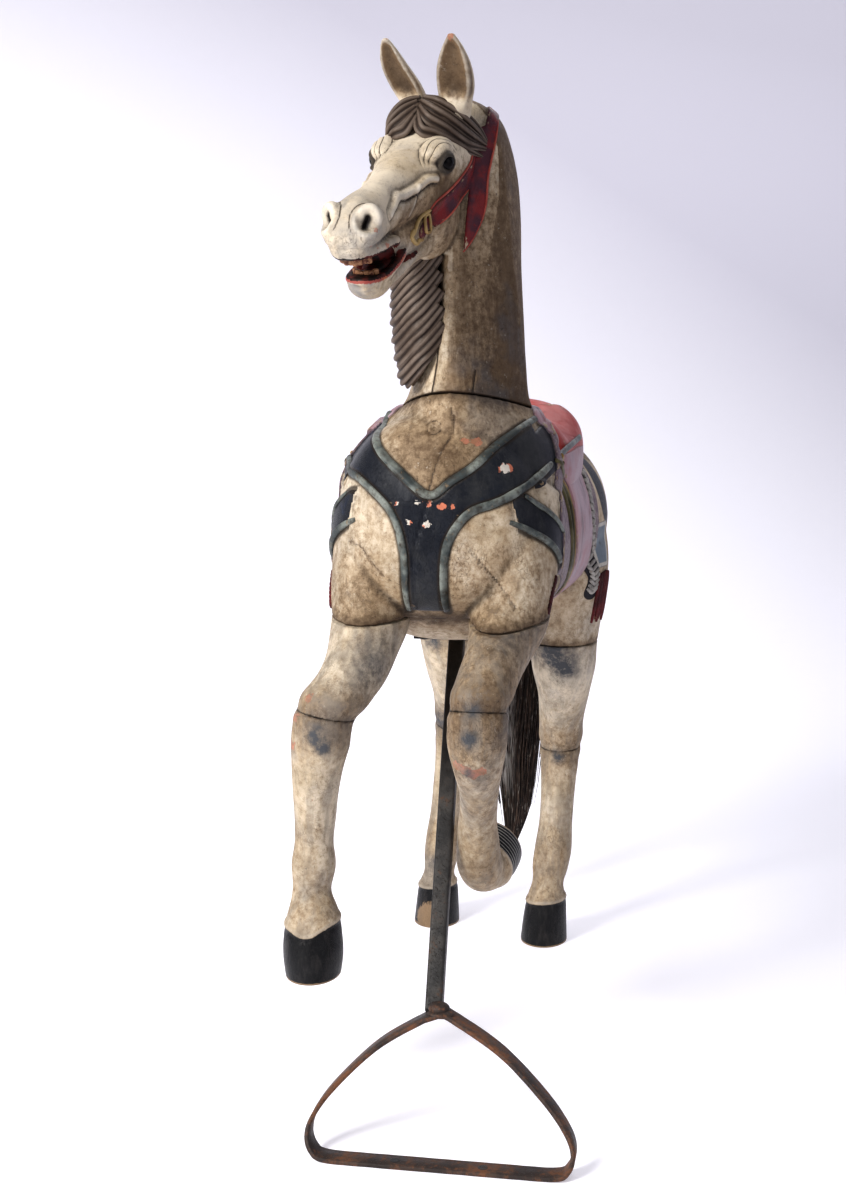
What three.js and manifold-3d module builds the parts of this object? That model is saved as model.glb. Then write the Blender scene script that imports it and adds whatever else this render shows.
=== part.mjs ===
// A carved wooden carousel horse, legs in a canter, on a bent iron stand.
// Millimetres. +X is the horse's left, -Y is where it faces, +Z is up, and it stands on z = 0.
import * as THREE from "three";
import { mergeVertices } from "three/addons/utils/BufferGeometryUtils.js";
import Module from "manifold-3d";

const wasm = await Module();
wasm.setup();

const TURN = Math.PI * 2;
const GAP = 0.3; // air between two pieces that touch
const FAR = 2000; // longer than the horse, for half-space cutters
const FOOTPRINT_MIDDLE = [13, 8]; // set under the origin at the end

// Driving sizes of the head.
const HEAD_SCALE = 1.03;
const HEAD_AT = [-23, -320, 1321]; // the point between the eyes
const HEAD_YAW = 16; // degrees towards the horse's right
const HEAD_PITCH = 20.5; // degrees nose down
const HEAD_ROLL = -4.6;
const EYE_RADIUS = 14;

// Driving sizes of the stand.
const POST_SIDE = 20;
const POST_TOP = [0, -48, 660];
const POST_FOOT = [27, -431, 165];
const BELLY_Z = 642; // the flat under the belly that the iron plate is screwed to
const PLATE_SIZE = [112, 200, 5];
const PLATE_AT = [2, -40];
const STRAP_WIDTH = 32;
const STRAP_THICK = 6;
const LOOP_HALF = 182; // half the loop's width
const LOOP_APEX = [38, -436, 172];
const LOOP_BAR_Y = -545;
const LOOP_MIDDLE = 54; // x of the middle of the bar that lies on the floor

const vec = (x, y, z) => new THREE.Vector3(x, y, z);
const radians = THREE.MathUtils.degToRad;

// ---------------------------------------------------------------- solids

function solidOf(geometry) {
  const bare = geometry.clone();
  bare.deleteAttribute("normal");
  bare.deleteAttribute("uv");
  const merged = mergeVertices(bare, 1e-3);
  return new wasm.Manifold(new wasm.Mesh({
    numProp: 3,
    vertProperties: new Float32Array(merged.attributes.position.array),
    triVerts: new Uint32Array(merged.index.array),
  }));
}

function geometryOf(solid) {
  const mesh = solid.getMesh();
  const geometry = new THREE.BufferGeometry();
  geometry.setAttribute("position", new THREE.BufferAttribute(mesh.vertProperties, 3));
  geometry.setIndex(new THREE.BufferAttribute(mesh.triVerts, 1));
  geometry.computeVertexNormals();
  return geometry;
}

const join = (...solids) => solids.reduce((all, next) => all.add(next));

// The one body of a solid, without the slivers left where two faces graze each other.
const oneBody = (solid) => solid.decompose().reduce((best, next) => (next.volume() > best.volume() ? next : best));

// A closed skin over rings of equally many points, with a flat fan at each end.
function skin(rings) {
  const sides = rings[0].length;
  const points = rings.flat();
  const faces = [];
  for (let r = 0; r + 1 < rings.length; r++) {
    for (let i = 0; i < sides; i++) {
      const a = r * sides + i;
      const b = r * sides + (i + 1) % sides;
      faces.push(a, b, b + sides, a, b + sides, a + sides);
    }
  }
  const middle = (ring) => ring.reduce((sum, p) => sum.add(p), vec(0, 0, 0)).divideScalar(sides);
  const head = points.push(middle(rings[0])) - 1;
  const tail = points.push(middle(rings.at(-1))) - 1;
  const start = (rings.length - 1) * sides;
  for (let i = 0; i < sides; i++) {
    const j = (i + 1) % sides;
    faces.push(head, j, i, tail, start + i, start + j);
  }
  const geometry = new THREE.BufferGeometry().setFromPoints(points);
  geometry.setIndex(faces);
  return geometry;
}

// One station of a carved form: half-width, heights above and below the middle,
// and how far it narrows towards the top and the bottom.
function ringAt(centre, side, up, row, sides, grow, power) {
  const [w, high, low, narrowUp = 0, narrowDown = 0] = row;
  const full = (value) => Math.sign(value) * Math.abs(value) ** (2 / power);
  const ring = [];
  for (let i = 0; i < sides; i++) {
    const angle = (i / sides) * TURN;
    const s = full(Math.sin(angle));
    const narrow = s > 0 ? 1 - narrowUp * s : 1 + narrowDown * s;
    const across = (w + grow) * full(Math.cos(angle)) * narrow;
    const rise = s * ((s > 0 ? high : low) + grow);
    ring.push(centre.clone().addScaledVector(side, across).addScaledVector(up, rise));
  }
  return ring;
}

// A form carved along a run of rows [x, y, z, half-width, up, down, narrowUp, narrowDown].
// `across` is its sideways direction; `along` fixes the run where the stations stay parallel.
function carve(rows, options) {
  const { sides = 16, across = vec(1, 0, 0), along, grow = 0, yaw = false, power = 2 } = options;
  const centres = rows.map(([x, y, z]) => vec(x, y, z));
  const rings = rows.map((row, i) => {
    const from = centres[Math.max(i - 1, 0)];
    const to = centres[Math.min(i + 1, centres.length - 1)];
    const run = along ? along.clone() : to.clone().sub(from).normalize();
    const turned = yaw ? across.clone().applyAxisAngle(vec(0, 0, 1), -radians(row[8])) : across;
    const side = turned.clone().addScaledVector(run, -turned.dot(run)).normalize();
    const up = run.clone().cross(side);
    return ringAt(centres[i], side, up, row.slice(3, 8), sides, grow, power);
  });
  return solidOf(skin(rings));
}

// Everything on the side of a plane that its normal points to.
function beyond(point, normal, offset = 0) {
  const box = new THREE.BoxGeometry(2 * FAR, 2 * FAR, 2 * FAR);
  const out = normal.clone().normalize();
  const turn = new THREE.Quaternion().setFromUnitVectors(vec(0, 0, 1), out);
  const centre = point.clone().addScaledVector(out, FAR + offset);
  box.applyQuaternion(turn).translate(...centre.toArray());
  return solidOf(box);
}

// The two parts of a solid cut across by a plane, with the gap between them.
function split(solid, point, normal) {
  const near = solid.intersect(beyond(point, normal.clone().negate(), GAP / 2));
  const far = solid.intersect(beyond(point, normal, GAP / 2));
  return [near, far];
}

// A prism over a flat outline of [u, v] pairs, reaching `reach` both ways along `run`.
function prism(outline, u, v, run = u.clone().cross(v), reach = FAR / 2) {
  const shape = new THREE.Shape(outline.map(([a, b]) => new THREE.Vector2(a, b)));
  const geometry = new THREE.ExtrudeGeometry(shape, { depth: 2 * reach, bevelEnabled: false });
  geometry.translate(0, 0, -reach);
  return solidOf(geometry.applyMatrix4(new THREE.Matrix4().makeBasis(u, v, run)));
}
const frontPrism = (outline) => prism(outline, vec(1, 0, 0), vec(0, 0, 1));
const sidePrism = (outline) => prism(outline, vec(0, 1, 0), vec(0, 0, 1));

// The outline of a band of even width along a run of points.
function band(points, width) {
  const run = points.map(([a, b]) => new THREE.Vector2(a, b));
  const edge = (sign) => run.map((p, i) => {
    const way = run[Math.min(i + 1, run.length - 1)].clone().sub(run[Math.max(i - 1, 0)]).normalize();
    return [p.x - way.y * sign * width / 2, p.y + way.x * sign * width / 2];
  });
  return [...edge(1), ...edge(-1).reverse()];
}

// ---------------------------------------------------------------- trunk and neck

// Rump to chest: [x, y, z, half-width, up, down, narrowUp, narrowDown]
const BARREL = [
  [15, 506, 800, 30, 30, 30, 0, 0],
  [15, 496, 800, 84, 74, 76, 0, 0],
  [15, 465, 795, 140, 112, 110, 0, 0],
  [16, 415, 782, 172, 142, 124, 0.05, 0],
  [16, 340, 776, 183, 156, 132, 0.05, 0],
  [12, 240, 776, 172, 156, 140, 0.05, 0],
  [8, 130, 780, 163, 158, 146, 0.05, 0],
  [5, 20, 780, 161, 172, 148, 0.05, 0],
  [2, -80, 780, 165, 190, 148, 0.1, 0],
  [0, -170, 785, 164, 196, 142, 0.1, 0],
  [0, -232, 795, 155, 186, 120, 0.1, 0],
  [0, -275, 805, 130, 165, 105, 0.1, 0],
  [0, -303, 810, 95, 120, 85, 0.1, 0],
  [0, -318, 812, 45, 60, 45, 0, 0],
];

// Poll to shoulders: [x, y, z, half-width, front, back, narrowFront, narrowBack, yaw]
const NECK = [
  [24, -212, 1412, 14, 14, 22, 0, 0, 16],
  [30, -208, 1400, 32, 30, 54, 0, 0.1, 16],
  [36, -200, 1378, 42, 38, 88, 0, 0.1, 16],
  [39, -190, 1322, 49, 54, 124, 0.1, 0.15, 16],
  [43, -182, 1255, 52, 78, 124, 0.35, 0.15, 16],
  [45, -174, 1186, 56, 98, 116, 0.4, 0.15, 14],
  [45, -168, 1138, 61, 106, 114, 0.4, 0.15, 12],
  [42, -163, 1095, 68, 114, 116, 0.35, 0.15, 10],
  [34, -156, 1046, 80, 124, 124, 0.3, 0.15, 6],
  [28, -148, 995, 91, 134, 140, 0.2, 0.15, 3],
  [22, -145, 962, 114, 142, 150, 0.1, 0.1, 0],
  [12, -143, 922, 144, 152, 158, 0.1, 0.1, 0],
  [3, -140, 880, 160, 156, 160, 0, 0, 0],
  [0, -140, 830, 158, 150, 150, 0, 0, 0],
];
const WITHERS_Y = 25; // the neck's base ends ahead of this
const FLANK_Y = 240; // behind this the haunches hang below the belly's flat
const NECK_JOINT = { at: vec(28, -200, 994), normal: vec(0, 0.21, 1) };

const same = (rows) => rows;
const barrel = (grow, move = same) => carve(move(BARREL), { sides: 20, along: vec(0, -1, 0), grow, power: 2.3 });
const neckForm = (grow, move = same) => carve(move(NECK), { sides: 16, along: vec(0, 0, -1), yaw: true, grow });

// ---------------------------------------------------------------- harness

const COLLAR_RISE = 5;
const BORDER_RISE = 8;
const BORDER_WIDTH = 12;
const SIDE_WIDTH = 46;
const SHOULDER_WIDTH = 62;
const GIRTH_WIDTH = 34;
const BREAST_Y = -200; // the breast piece lies ahead of this
const SIDES_START_Y = -275; // and the side bands run between these
const SIDES_END_Y = -60;
const FLAP_RISE = 9;
const CLOTH_RISE = 4;

// The breast collar from the front, [x, z]: the V of its upper edge, and the lower edges of its arms.
const COLLAR_V = [
  [-132, 984], [-92, 968], [-54, 944], [-26, 912], [2, 872], [30, 888], [60, 908], [92, 934], [128, 968],
];
const COLLAR_RIGHT = [
  [-176, 930], [-135, 880], [-104, 868], [-63, 842], [-40, 815], [-30, 780], [-29, 744], [-31, 706],
];
const COLLAR_LEFT = [
  [30, 706], [29, 753], [35, 796], [57, 824], [90, 841], [118, 860], [146, 886], [176, 930],
];
// Its side bands, running back and down to the girth, [y, z].
const SIDE_BAND = [[-280, 850], [-215, 806], [-170, 770], [-120, 728], [-90, 700]];
// Where the collar passes over the shoulder to the saddle, [y, z].
const SHOULDER_BAND = [[-235, 905], [-150, 930], [-60, 925]];

// The chest and shoulders, grown by the rise of a relief and moved ahead by as much.
const trunkForm = (grow) => {
  const ahead = (rows) => rows.map(([x, y, ...rest]) => [x, y - grow, ...rest]);
  const shoulders = Object.values(LIMBS).filter(({ top }) => top.at.y < 0)
    .map(({ rows }) => carve(ahead(rows.slice(0, 4)), { sides: 12, grow }));
  return join(barrel(grow, ahead), neckForm(grow, ahead), ...shoulders);
};

function collar() {
  const ahead = beyond(vec(0, BREAST_Y, 0), vec(0, -1, 0));
  const shape = frontPrism([...COLLAR_RIGHT, ...COLLAR_LEFT, ...COLLAR_V.toReversed()]);
  const borders = [COLLAR_V, COLLAR_RIGHT, COLLAR_LEFT].map((line) => frontPrism(band(line, BORDER_WIDTH)));
  const behind = beyond(vec(0, BREAST_Y, 0), vec(0, 1, 0))
    .intersect(beyond(vec(0, SIDES_END_Y, 0), vec(0, -1, 0)));
  const low = trunkForm(COLLAR_RISE);
  const high = trunkForm(BORDER_RISE);
  const bands = join(sidePrism(band(SIDE_BAND, SIDE_WIDTH)), sidePrism(band(SHOULDER_BAND, SHOULDER_WIDTH)));
  const sides = low.intersect(bands).intersect(beyond(vec(0, SIDES_START_Y, 0), vec(0, 1, 0)));
  return join(low.intersect(shape).intersect(ahead), high.intersect(join(...borders)).intersect(ahead),
    sides.intersect(join(behind, ahead)));
}

// Cantle to pommel: [x, y, z, half-width, up, down]
const SEAT = [
  [13, 262, 880, 118, 44, 60], [14, 246, 885, 140, 84, 60], [15, 205, 885, 144, 94, 60], [14, 178, 885, 146, 80, 60],
  [12, 130, 885, 148, 58, 60], [10, 60, 885, 148, 62, 60], [8, 5, 890, 138, 84, 60], [6, -28, 895, 110, 80, 60],
];
// The flap and the saddle cloth from the side, [y, z].
const FLAP = [
  [-80, 935], [-66, 885], [12, 800], [66, 735], [74, 664], [92, 652], [150, 690], [176, 760], [168, 846], [130, 915],
  [125, 960], [-70, 960],
];
const CLOTH = [
  [-125, 950], [-128, 860], [-95, 770], [-40, 706], [30, 655], [200, 672], [262, 760], [262, 880], [215, 950],
];
const GIRTH = [[20, 700], [35, 640], [35, 560]];

function saddle() {
  const seat = carve(SEAT, { sides: 18, along: vec(0, -1, 0), power: 3 });
  const flap = barrel(FLAP_RISE).intersect(sidePrism(FLAP));
  const cloth = barrel(CLOTH_RISE).intersect(sidePrism(CLOTH));
  const girth = barrel(CLOTH_RISE).intersect(sidePrism(band(GIRTH, GIRTH_WIDTH)));
  return join(seat, flap, cloth, girth);
}

// ---------------------------------------------------------------- legs

// From inside the shoulder or haunch to the sole: [x, y, z, half-width, front, back]
const LIMBS = {
  right_foreleg: {
    rows: [
      [-98, -165, 860, 56, 84, 84], [-99, -198, 780, 60, 90, 90], [-99, -225, 725, 59, 80, 80],
      [-97, -245, 690, 57, 68, 70], [-103, -263, 655, 51, 60, 62], [-110, -286, 623, 46, 53, 55],
      [-125, -312, 592, 41, 47, 48], [-146, -332, 560, 42, 46, 46], [-152, -335, 523, 42, 44, 45],
      [-158, -331, 485, 37, 40, 40], [-162, -326, 447, 33, 35, 35], [-164, -322, 409, 30, 32, 32],
      [-167, -318, 370, 28, 31, 31], [-168, -318, 335, 32, 35, 35], [-170, -322, 298, 28, 31, 31],
      [-166, -332, 265, 38, 40, 38], [-165, -338, 232, 43, 48, 44], [-164, -341, 205, 43, 52, 47],
      [-164, -343, 172, 38, 48, 44],
    ],
    top: { at: vec(-97, -245, 690), normal: vec(0, 0.1, -1) },
    middle: { at: vec(-146, -332, 560), normal: vec(-0.2, -0.1, -1) },
    sole: { at: vec(-164, -344, 182), normal: vec(0, 0.05, -1) },
  },
  left_foreleg: {
    rows: [
      [108, -160, 860, 60, 84, 84], [106, -196, 780, 63, 90, 90], [104, -226, 725, 60, 80, 80],
      [102, -250, 690, 57, 66, 70], [97, -282, 662, 47, 57, 60], [94, -312, 640, 43, 52, 52],
      [89, -345, 615, 43, 48, 50], [84, -366, 590, 44, 46, 48], [83, -372, 562, 45, 44, 46],
      [83, -366, 532, 44, 43, 44], [82, -350, 500, 38, 40, 40], [80, -325, 465, 32, 34, 34],
      [75, -298, 431, 29, 31, 31], [69, -275, 396, 30, 32, 32], [66, -256, 362, 33, 35, 35],
      [66, -238, 336, 34, 37, 34], [69, -215, 324, 34, 36, 33], [73, -196, 328, 41, 42, 40],
      [77, -172, 338, 46, 48, 48], [81, -146, 350, 48, 52, 52],
    ],
    top: { at: vec(102, -250, 690), normal: vec(0, 0.1, -1) },
    middle: { at: vec(84, -368, 580), normal: vec(0, -0.2, -1) },
    sole: { at: vec(80, -152, 347), normal: vec(0.14, 0.9, 0.42) },
  },
  left_hindleg: {
    rows: [
      [112, 350, 780, 78, 110, 100], [124, 352, 700, 78, 108, 96], [126, 350, 630, 70, 92, 86],
      [126, 347, 554, 59, 72, 76], [126, 352, 508, 56, 60, 66], [125, 366, 460, 46, 50, 55],
      [120, 385, 410, 40, 44, 50], [118, 398, 370, 39, 42, 50], [117, 397, 342, 36, 40, 44],
      [116, 388, 299, 32, 34, 36], [115, 379, 257, 30, 32, 33], [113, 373, 213, 30, 32, 34],
      [110, 368, 171, 33, 36, 38], [105, 362, 136, 32, 34, 35], [102, 356, 108, 28, 31, 31],
      [100, 357, 78, 35, 40, 38], [97, 359, 40, 39, 47, 43], [95, 361, -4, 42, 54, 48],
    ],
    top: { at: vec(126, 347, 553), normal: vec(0, 0, -1) },
    middle: { at: vec(117, 398, 352), normal: vec(0, 0.1, -1) },
    sole: { at: vec(0, 0, 0), normal: vec(0, 0, -1) },
  },
  right_hindleg: {
    rows: [
      [-88, 365, 780, 78, 110, 100], [-90, 368, 700, 78, 104, 94], [-85, 370, 630, 66, 88, 84],
      [-81, 372, 556, 54, 70, 74], [-80, 384, 500, 46, 56, 60], [-80, 405, 447, 36, 46, 50],
      [-83, 430, 397, 34, 42, 46], [-85, 440, 355, 33, 41, 45], [-90, 438, 305, 28, 36, 38],
      [-94, 432, 255, 27, 31, 32], [-98, 428, 207, 27, 31, 31], [-101, 424, 163, 31, 34, 35],
      [-104, 420, 128, 31, 33, 34], [-107, 418, 97, 28, 31, 31], [-109, 421, 70, 36, 39, 38],
      [-111, 425, 38, 39, 46, 42], [-113, 428, -4, 42, 52, 48],
    ],
    top: { at: vec(-81, 372, 556), normal: vec(0, 0, -1) },
    middle: { at: vec(-84, 436, 384), normal: vec(0, 0.3, -1) },
    sole: { at: vec(0, 0, 0), normal: vec(0, 0, -1) },
  },
};

function limb({ rows, top, middle, sole }) {
  const whole = carve(rows, { sides: 12 });
  const [socket, below] = split(whole, top.at, top.normal);
  const [upper, rest] = split(below, middle.at, middle.normal);
  const lower = rest.intersect(beyond(sole.at, sole.normal.clone().negate()));
  return { socket, upper, lower };
}

// ---------------------------------------------------------------- head

// Head space: x towards the nose, y to the horse's left, z up, from the point between the eyes.
function headPose() {
  const yaw = radians(HEAD_YAW);
  const pitch = radians(HEAD_PITCH);
  const roll = radians(HEAD_ROLL);
  const ahead = vec(-Math.sin(yaw), -Math.cos(yaw), 0);
  const left = vec(Math.cos(yaw), -Math.sin(yaw), 0);
  const up = vec(0, 0, 1);
  const nose = ahead.clone().multiplyScalar(Math.cos(pitch)).addScaledVector(up, -Math.sin(pitch));
  const crown = up.clone().multiplyScalar(Math.cos(pitch)).addScaledVector(ahead, Math.sin(pitch));
  const y = left.clone().multiplyScalar(Math.cos(roll)).addScaledVector(crown, Math.sin(roll));
  const z = crown.clone().multiplyScalar(Math.cos(roll)).addScaledVector(left, -Math.sin(roll));
  const pose = new THREE.Matrix4().makeBasis(nose, y, z).scale(vec(HEAD_SCALE, HEAD_SCALE, HEAD_SCALE));
  return pose.setPosition(...HEAD_AT);
}
const POSE = headPose();
const posed = (solid) => solidOf(geometryOf(solid).applyMatrix4(POSE));

const AHEAD = { along: vec(1, 0, 0), across: vec(0, 1, 0) };

// Poll to lip: [x, y, z, half-width, up, down, narrowUp, narrowDown]
const SKULL = [
  [-118, 0, -8, 26, 30, 40, 0, 0], [-100, 0, -5, 44, 52, 60, 0, 0], [-72, 0, -8, 53, 62, 80, 0, 0],
  [-40, 0, -10, 55, 52, 80, 0, 0], [-10, 0, -12, 54, 43, 76, 0, 0], [22, 0, -16, 49, 41, 66, 0.1, 0],
  [55, 0, -22, 41, 41, 48, 0.2, 0], [90, 0, -28, 34, 38, 40, 0.2, 0], [125, 0, -31, 31, 36, 34, 0.1, 0],
  [155, 0, -33, 35, 38, 30, 0.1, 0], [182, 0, -34, 37, 34, 31, 0, 0], [202, 0, -38, 31, 24, 27, 0, 0],
  [213, 0, -42, 15, 12, 14, 0, 0],
];

// Cheek to chin.
const JAW = [
  [-30, 0, -96, 34, 30, 34, 0, 0], [20, 0, -100, 32, 20, 26, 0, 0], [60, 0, -103, 29, 10, 20, 0, 0],
  [95, 0, -108, 27, 8, 18, 0, 0], [128, 0, -112, 25, 12, 19, 0, 0], [152, 0, -113, 25, 17, 21, 0, 0],
  [170, 0, -110, 22, 16, 18, 0, 0], [181, 0, -106, 12, 9, 9, 0, 0],
];

function ball(x, y, z, rx, ry, rz, detail = 10) {
  const geometry = new THREE.SphereGeometry(1, detail, Math.ceil(detail / 2));
  return solidOf(geometry.scale(rx, ry, rz).translate(x, y, z));
}

// Base to tip of each ear: the right one leans out further than the left.
const EARS = [
  [[-76, 36, 30, 16, 15, 15], [-71, 37, 54, 21, 17, 17], [-69, 39, 80, 26, 17, 17], [-66, 40, 106, 24, 14, 14],
    [-63, 41, 130, 15, 9, 9], [-61, 41, 148, 4, 4, 4]],
  [[-76, -16, 28, 14, 14, 14], [-71, -22, 54, 19, 16, 16], [-69, -34, 80, 22, 15, 15],
    [-66, -45, 104, 19, 12, 12], [-63, -51, 126, 12, 8, 8], [-60, -53, 141, 4, 4, 4]],
];

function ear(rows) {
  const leaf = carve(rows, { sides: 10, across: vec(0, 1, 0), along: vec(0, 0, 1) });
  const [low, middle] = [rows[2], rows[3]];
  const scoops = [low, middle].map(([x, y, z, w]) => ball(x + 17, y, z, 13, w * 0.7, 32, 8));
  return leaf.subtract(join(...scoops));
}

function headForm(grow) {
  const cheeks = [1, -1].map((s) => ball(-18, s * 6, -72, 58 + grow, 42 + grow, 66 + grow, 12));
  const muzzle = ball(38, 0, -78, 62 + grow, 33 + grow, 34 + grow, 10);
  return join(carve(SKULL, { ...AHEAD, sides: 16, grow }), muzzle, ...cheeks);
}

// The forelock's carved locks, each from the parting to its tip, [x, y, z].
const FORELOCK = [
  [[-62, -4, 63], [-57, 20, 58], [-66, 42, 42], [-88, 55, 18], [-112, 60, -6]],
  [[-40, -1, 57], [-27, 17, 46], [-37, 36, 31], [-64, 53, 6], [-122, 60, -20]],
  [[-28, 1, 50], [-14, 12, 36], [-24, 29, 26], [-50, 48, 6], [-104, 58, -24]],
  [[-60, -8, 63], [-53, -28, 56], [-45, -44, 38], [-36, -51, 18]],
  [[-38, -5, 57], [-25, -18, 45], [-18, -32, 33], [-18, -44, 15]],
  [[-26, -2, 50], [-11, -9, 36], [-7, -23, 30], [-12, -39, 18]],
];
const LOCK_RADII = [6.5, 10.5, 10, 7.5];
const LOCK_TIP = 2;

function forelock() {
  const lock = (line) => {
    const rows = line.map(([x, y, z], i) => {
      const r = i === line.length - 1 ? LOCK_TIP : LOCK_RADII[i];
      return [x, y, z, r, r, r];
    });
    return carve(rows, { sides: 7, across: vec(1, 0, 0.4) });
  };
  return join(ball(-46, 0, 36, 24, 42, 24), ...FORELOCK.map(lock));
}

// Teeth along the front of a jaw whose arch has its middle at x, z.
function teeth(x, z, length, half, count) {
  const tooth = (_, i) => {
    const angle = ((i + 0.5) / count - 0.5) * 2.1;
    const box = new THREE.BoxGeometry(6, 7, 13).rotateZ(angle);
    return solidOf(box.translate(x + length * Math.cos(angle), half * Math.sin(angle), z));
  };
  return join(...Array.from({ length: count }, tooth));
}

// The bridle of one side, [x, z] on the plane of the cheek: crown strap, throat strap and cheek strap.
const BRIDLE = [
  [-200, 44], [-187, 9], [-178, -14], [-160, -40], [-150, -56], [-144, -84], [-124, -104], [-84, -124],
  [-50, -133], [-55, -118], [-66, -88], [-80, -68], [-46, -77], [-2, -83], [55, -82], [64, -70], [62, -56],
  [1, -51], [-41, -41], [-78, -27], [-92, -8], [-104, 16], [-143, 13], [-152, 29], [-165, 50],
];
const CHEEK_Y = 50; // that plane
const BRIDLE_WAY = [0.775, 0.62, 0.1]; // the outline is laid on to the head along this
const BRIDLE_REACH = 95;
const BRIDLE_FROM_Y = 12; // the straps of each side begin this far from the middle
const STRAP_RISE = 4;

function bridle() {
  const form = join(posed(headForm(STRAP_RISE)), neckForm(STRAP_RISE));
  const [wayX, wayY, wayZ] = BRIDLE_WAY;
  const sides = [1, -1].map((s) => {
    const straps = prism(BRIDLE, vec(1, 0, 0), vec(0, 0, 1), vec(-s * wayX, -wayY, -s * wayZ), BRIDLE_REACH);
    return straps.translate(0, s * CHEEK_Y, 0).intersect(beyond(vec(0, s * BRIDLE_FROM_Y, 0), vec(0, s, 0)));
  });
  return form.intersect(posed(join(...sides)));
}

function buckle(side) {
  const frame = new THREE.TorusGeometry(17, 4, 6, 4);
  frame.rotateZ(Math.PI / 4).rotateX(Math.PI / 2).scale(1, 1, 0.9);
  return solidOf(frame.translate(60, side * 34, -69));
}

function headBlock() {
  const jaw = carve(JAW, { ...AHEAD, sides: 10 });
  const brows = [1, -1].map((s) => ball(-4, s * 33, 13, 32, 22, 17, 8));
  const ears = EARS.map(ear);
  const flares = [1, -1].map((s) => ball(184, s * 25, -17, 19, 14, 15, 8));
  const holes = [1, -1].map((s) => ball(197, s * 33, -17, 11, 8, 8, 8));
  const lips = join(teeth(172, -66, 28, 22, 6), teeth(150, -93, 22, 18, 4));
  return join(headForm(0), jaw, ...brows, ...ears, ...flares, forelock(), lips, buckle(1), buckle(-1))
    .subtract(join(...holes));
}

const eyePlace = (side) => [2, side * 46, 0];

// ---------------------------------------------------------------- mane

const MANE_LOCKS = 12;
const MANE_TOP = 1318; // where the front of the highest lock lies
const MANE_STEP = 24.5;

// Each lock falls from the crest over the right of the neck and turns up again at the throat.
function mane() {
  const lock = (_, i) => {
    const t = i / (MANE_LOCKS - 1);
    const z = MANE_TOP - i * MANE_STEP;
    const out = 2 - 52 * Math.sin(Math.PI * (0.12 + 0.6 * t)) - 4 * t;
    const crest = -70 - 62 * (1 - t) ** 4;
    const rows = [
      [30, crest, z + 70, 8, 12, 12], [out + 14, -128, z + 44, 13, 20, 20],
      [out, -190, z + 8, 16, 24, 24], [out - 2, -240, z - 14, 15, 20, 20],
      [out + 26, -276, z + 8, 8, 12, 12],
    ];
    return carve(rows, { sides: 5 });
  };
  return join(...Array.from({ length: MANE_LOCKS }, lock));
}

// ---------------------------------------------------------------- tail, stand

// From the dock down: [x, y, z, half-width, half-depths]
const TAIL = [
  [16, 488, 850, 14, 14, 14], [16, 514, 854, 20, 17, 17], [20, 538, 826, 26, 22, 22], [28, 548, 750, 32, 26, 26],
  [36, 550, 640, 38, 28, 28], [40, 550, 520, 40, 28, 28], [38, 546, 400, 42, 28, 28], [33, 540, 290, 42, 26, 26],
  [26, 534, 200, 36, 22, 22], [16, 528, 130, 14, 10, 10],
];

// The bundle of hair, grown by `grow` for its socket in the rump.
function tail(grow = 0) {
  const [[x, y, ...rest], ...others] = TAIL;
  return carve([[x, y - grow, ...rest], ...others], { sides: 10, grow });
}

function post() {
  const top = vec(...POST_TOP);
  const foot = vec(...POST_FOOT);
  const run = foot.clone().sub(top);
  const bar = new THREE.BoxGeometry(POST_SIDE, POST_SIDE, run.length());
  bar.applyQuaternion(new THREE.Quaternion().setFromUnitVectors(vec(0, 0, -1), run.clone().normalize()));
  const centre = top.clone().add(foot).divideScalar(2);
  const under = beyond(vec(0, 0, BELLY_Z - PLATE_SIZE[2] - 2 * GAP), vec(0, 0, -1));
  const over = beyond(vec(0, 0, LOOP_APEX[2] + STRAP_THICK / 2 + GAP), vec(0, 0, 1));
  return solidOf(bar.translate(...centre.toArray())).intersect(under).intersect(over);
}

function plate() {
  const box = new THREE.BoxGeometry(...PLATE_SIZE);
  return solidOf(box.translate(...PLATE_AT, BELLY_Z - PLATE_SIZE[2] / 2 - GAP));
}

// The middle line of the bent strap, from the apex round to the apex again.
function loopLine() {
  const [ax, ay, az] = LOOP_APEX;
  const low = STRAP_THICK / 2;
  const half = LOOP_HALF - low;
  const right = [[0.12, 0.96], [0.48, 0.76], [0.8, 0.48], [0.96, 0.28], [1, 0.15], [0.96, 0.05], [0.86, 0.005]];
  const level = (u, v, side) => {
    const x = LOOP_MIDDLE + side * u * half + (ax - LOOP_MIDDLE) * v;
    return vec(x, LOOP_BAR_Y + (ay - LOOP_BAR_Y) * v, low + (az - low) * v);
  };
  const down = right.map(([u, v]) => level(u, v, 1));
  const flat = [0.5, 0, -0.5].map((u) => level(u, 0, 1));
  const upAgain = right.map(([u, v]) => level(u, v, -1)).reverse();
  return [vec(ax, ay, az), ...down, ...flat, ...upAgain];
}

function loop() {
  const line = loopLine();
  const count = line.length;
  const points = [];
  const faces = [];
  line.forEach((p, i) => {
    const run = line[(i + 1) % count].clone().sub(line[(i + count - 1) % count]).normalize();
    const wide = vec(0, 1, 0);
    const thick = run.clone().cross(wide).normalize();
    for (const [a, b] of [[-1, -1], [1, -1], [1, 1], [-1, 1]]) {
      points.push(p.clone().addScaledVector(wide, a * STRAP_WIDTH / 2)
        .addScaledVector(thick, b * STRAP_THICK / 2));
    }
    for (let k = 0; k < 4; k++) {
      const here = i * 4;
      const next = ((i + 1) % count) * 4;
      const j = (k + 1) % 4;
      faces.push(here + k, next + j, next + k, here + k, here + j, next + j);
    }
  });
  const geometry = new THREE.BufferGeometry().setFromPoints(points);
  geometry.setIndex(faces);
  return solidOf(geometry);
}

// ---------------------------------------------------------------- the horse

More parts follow.
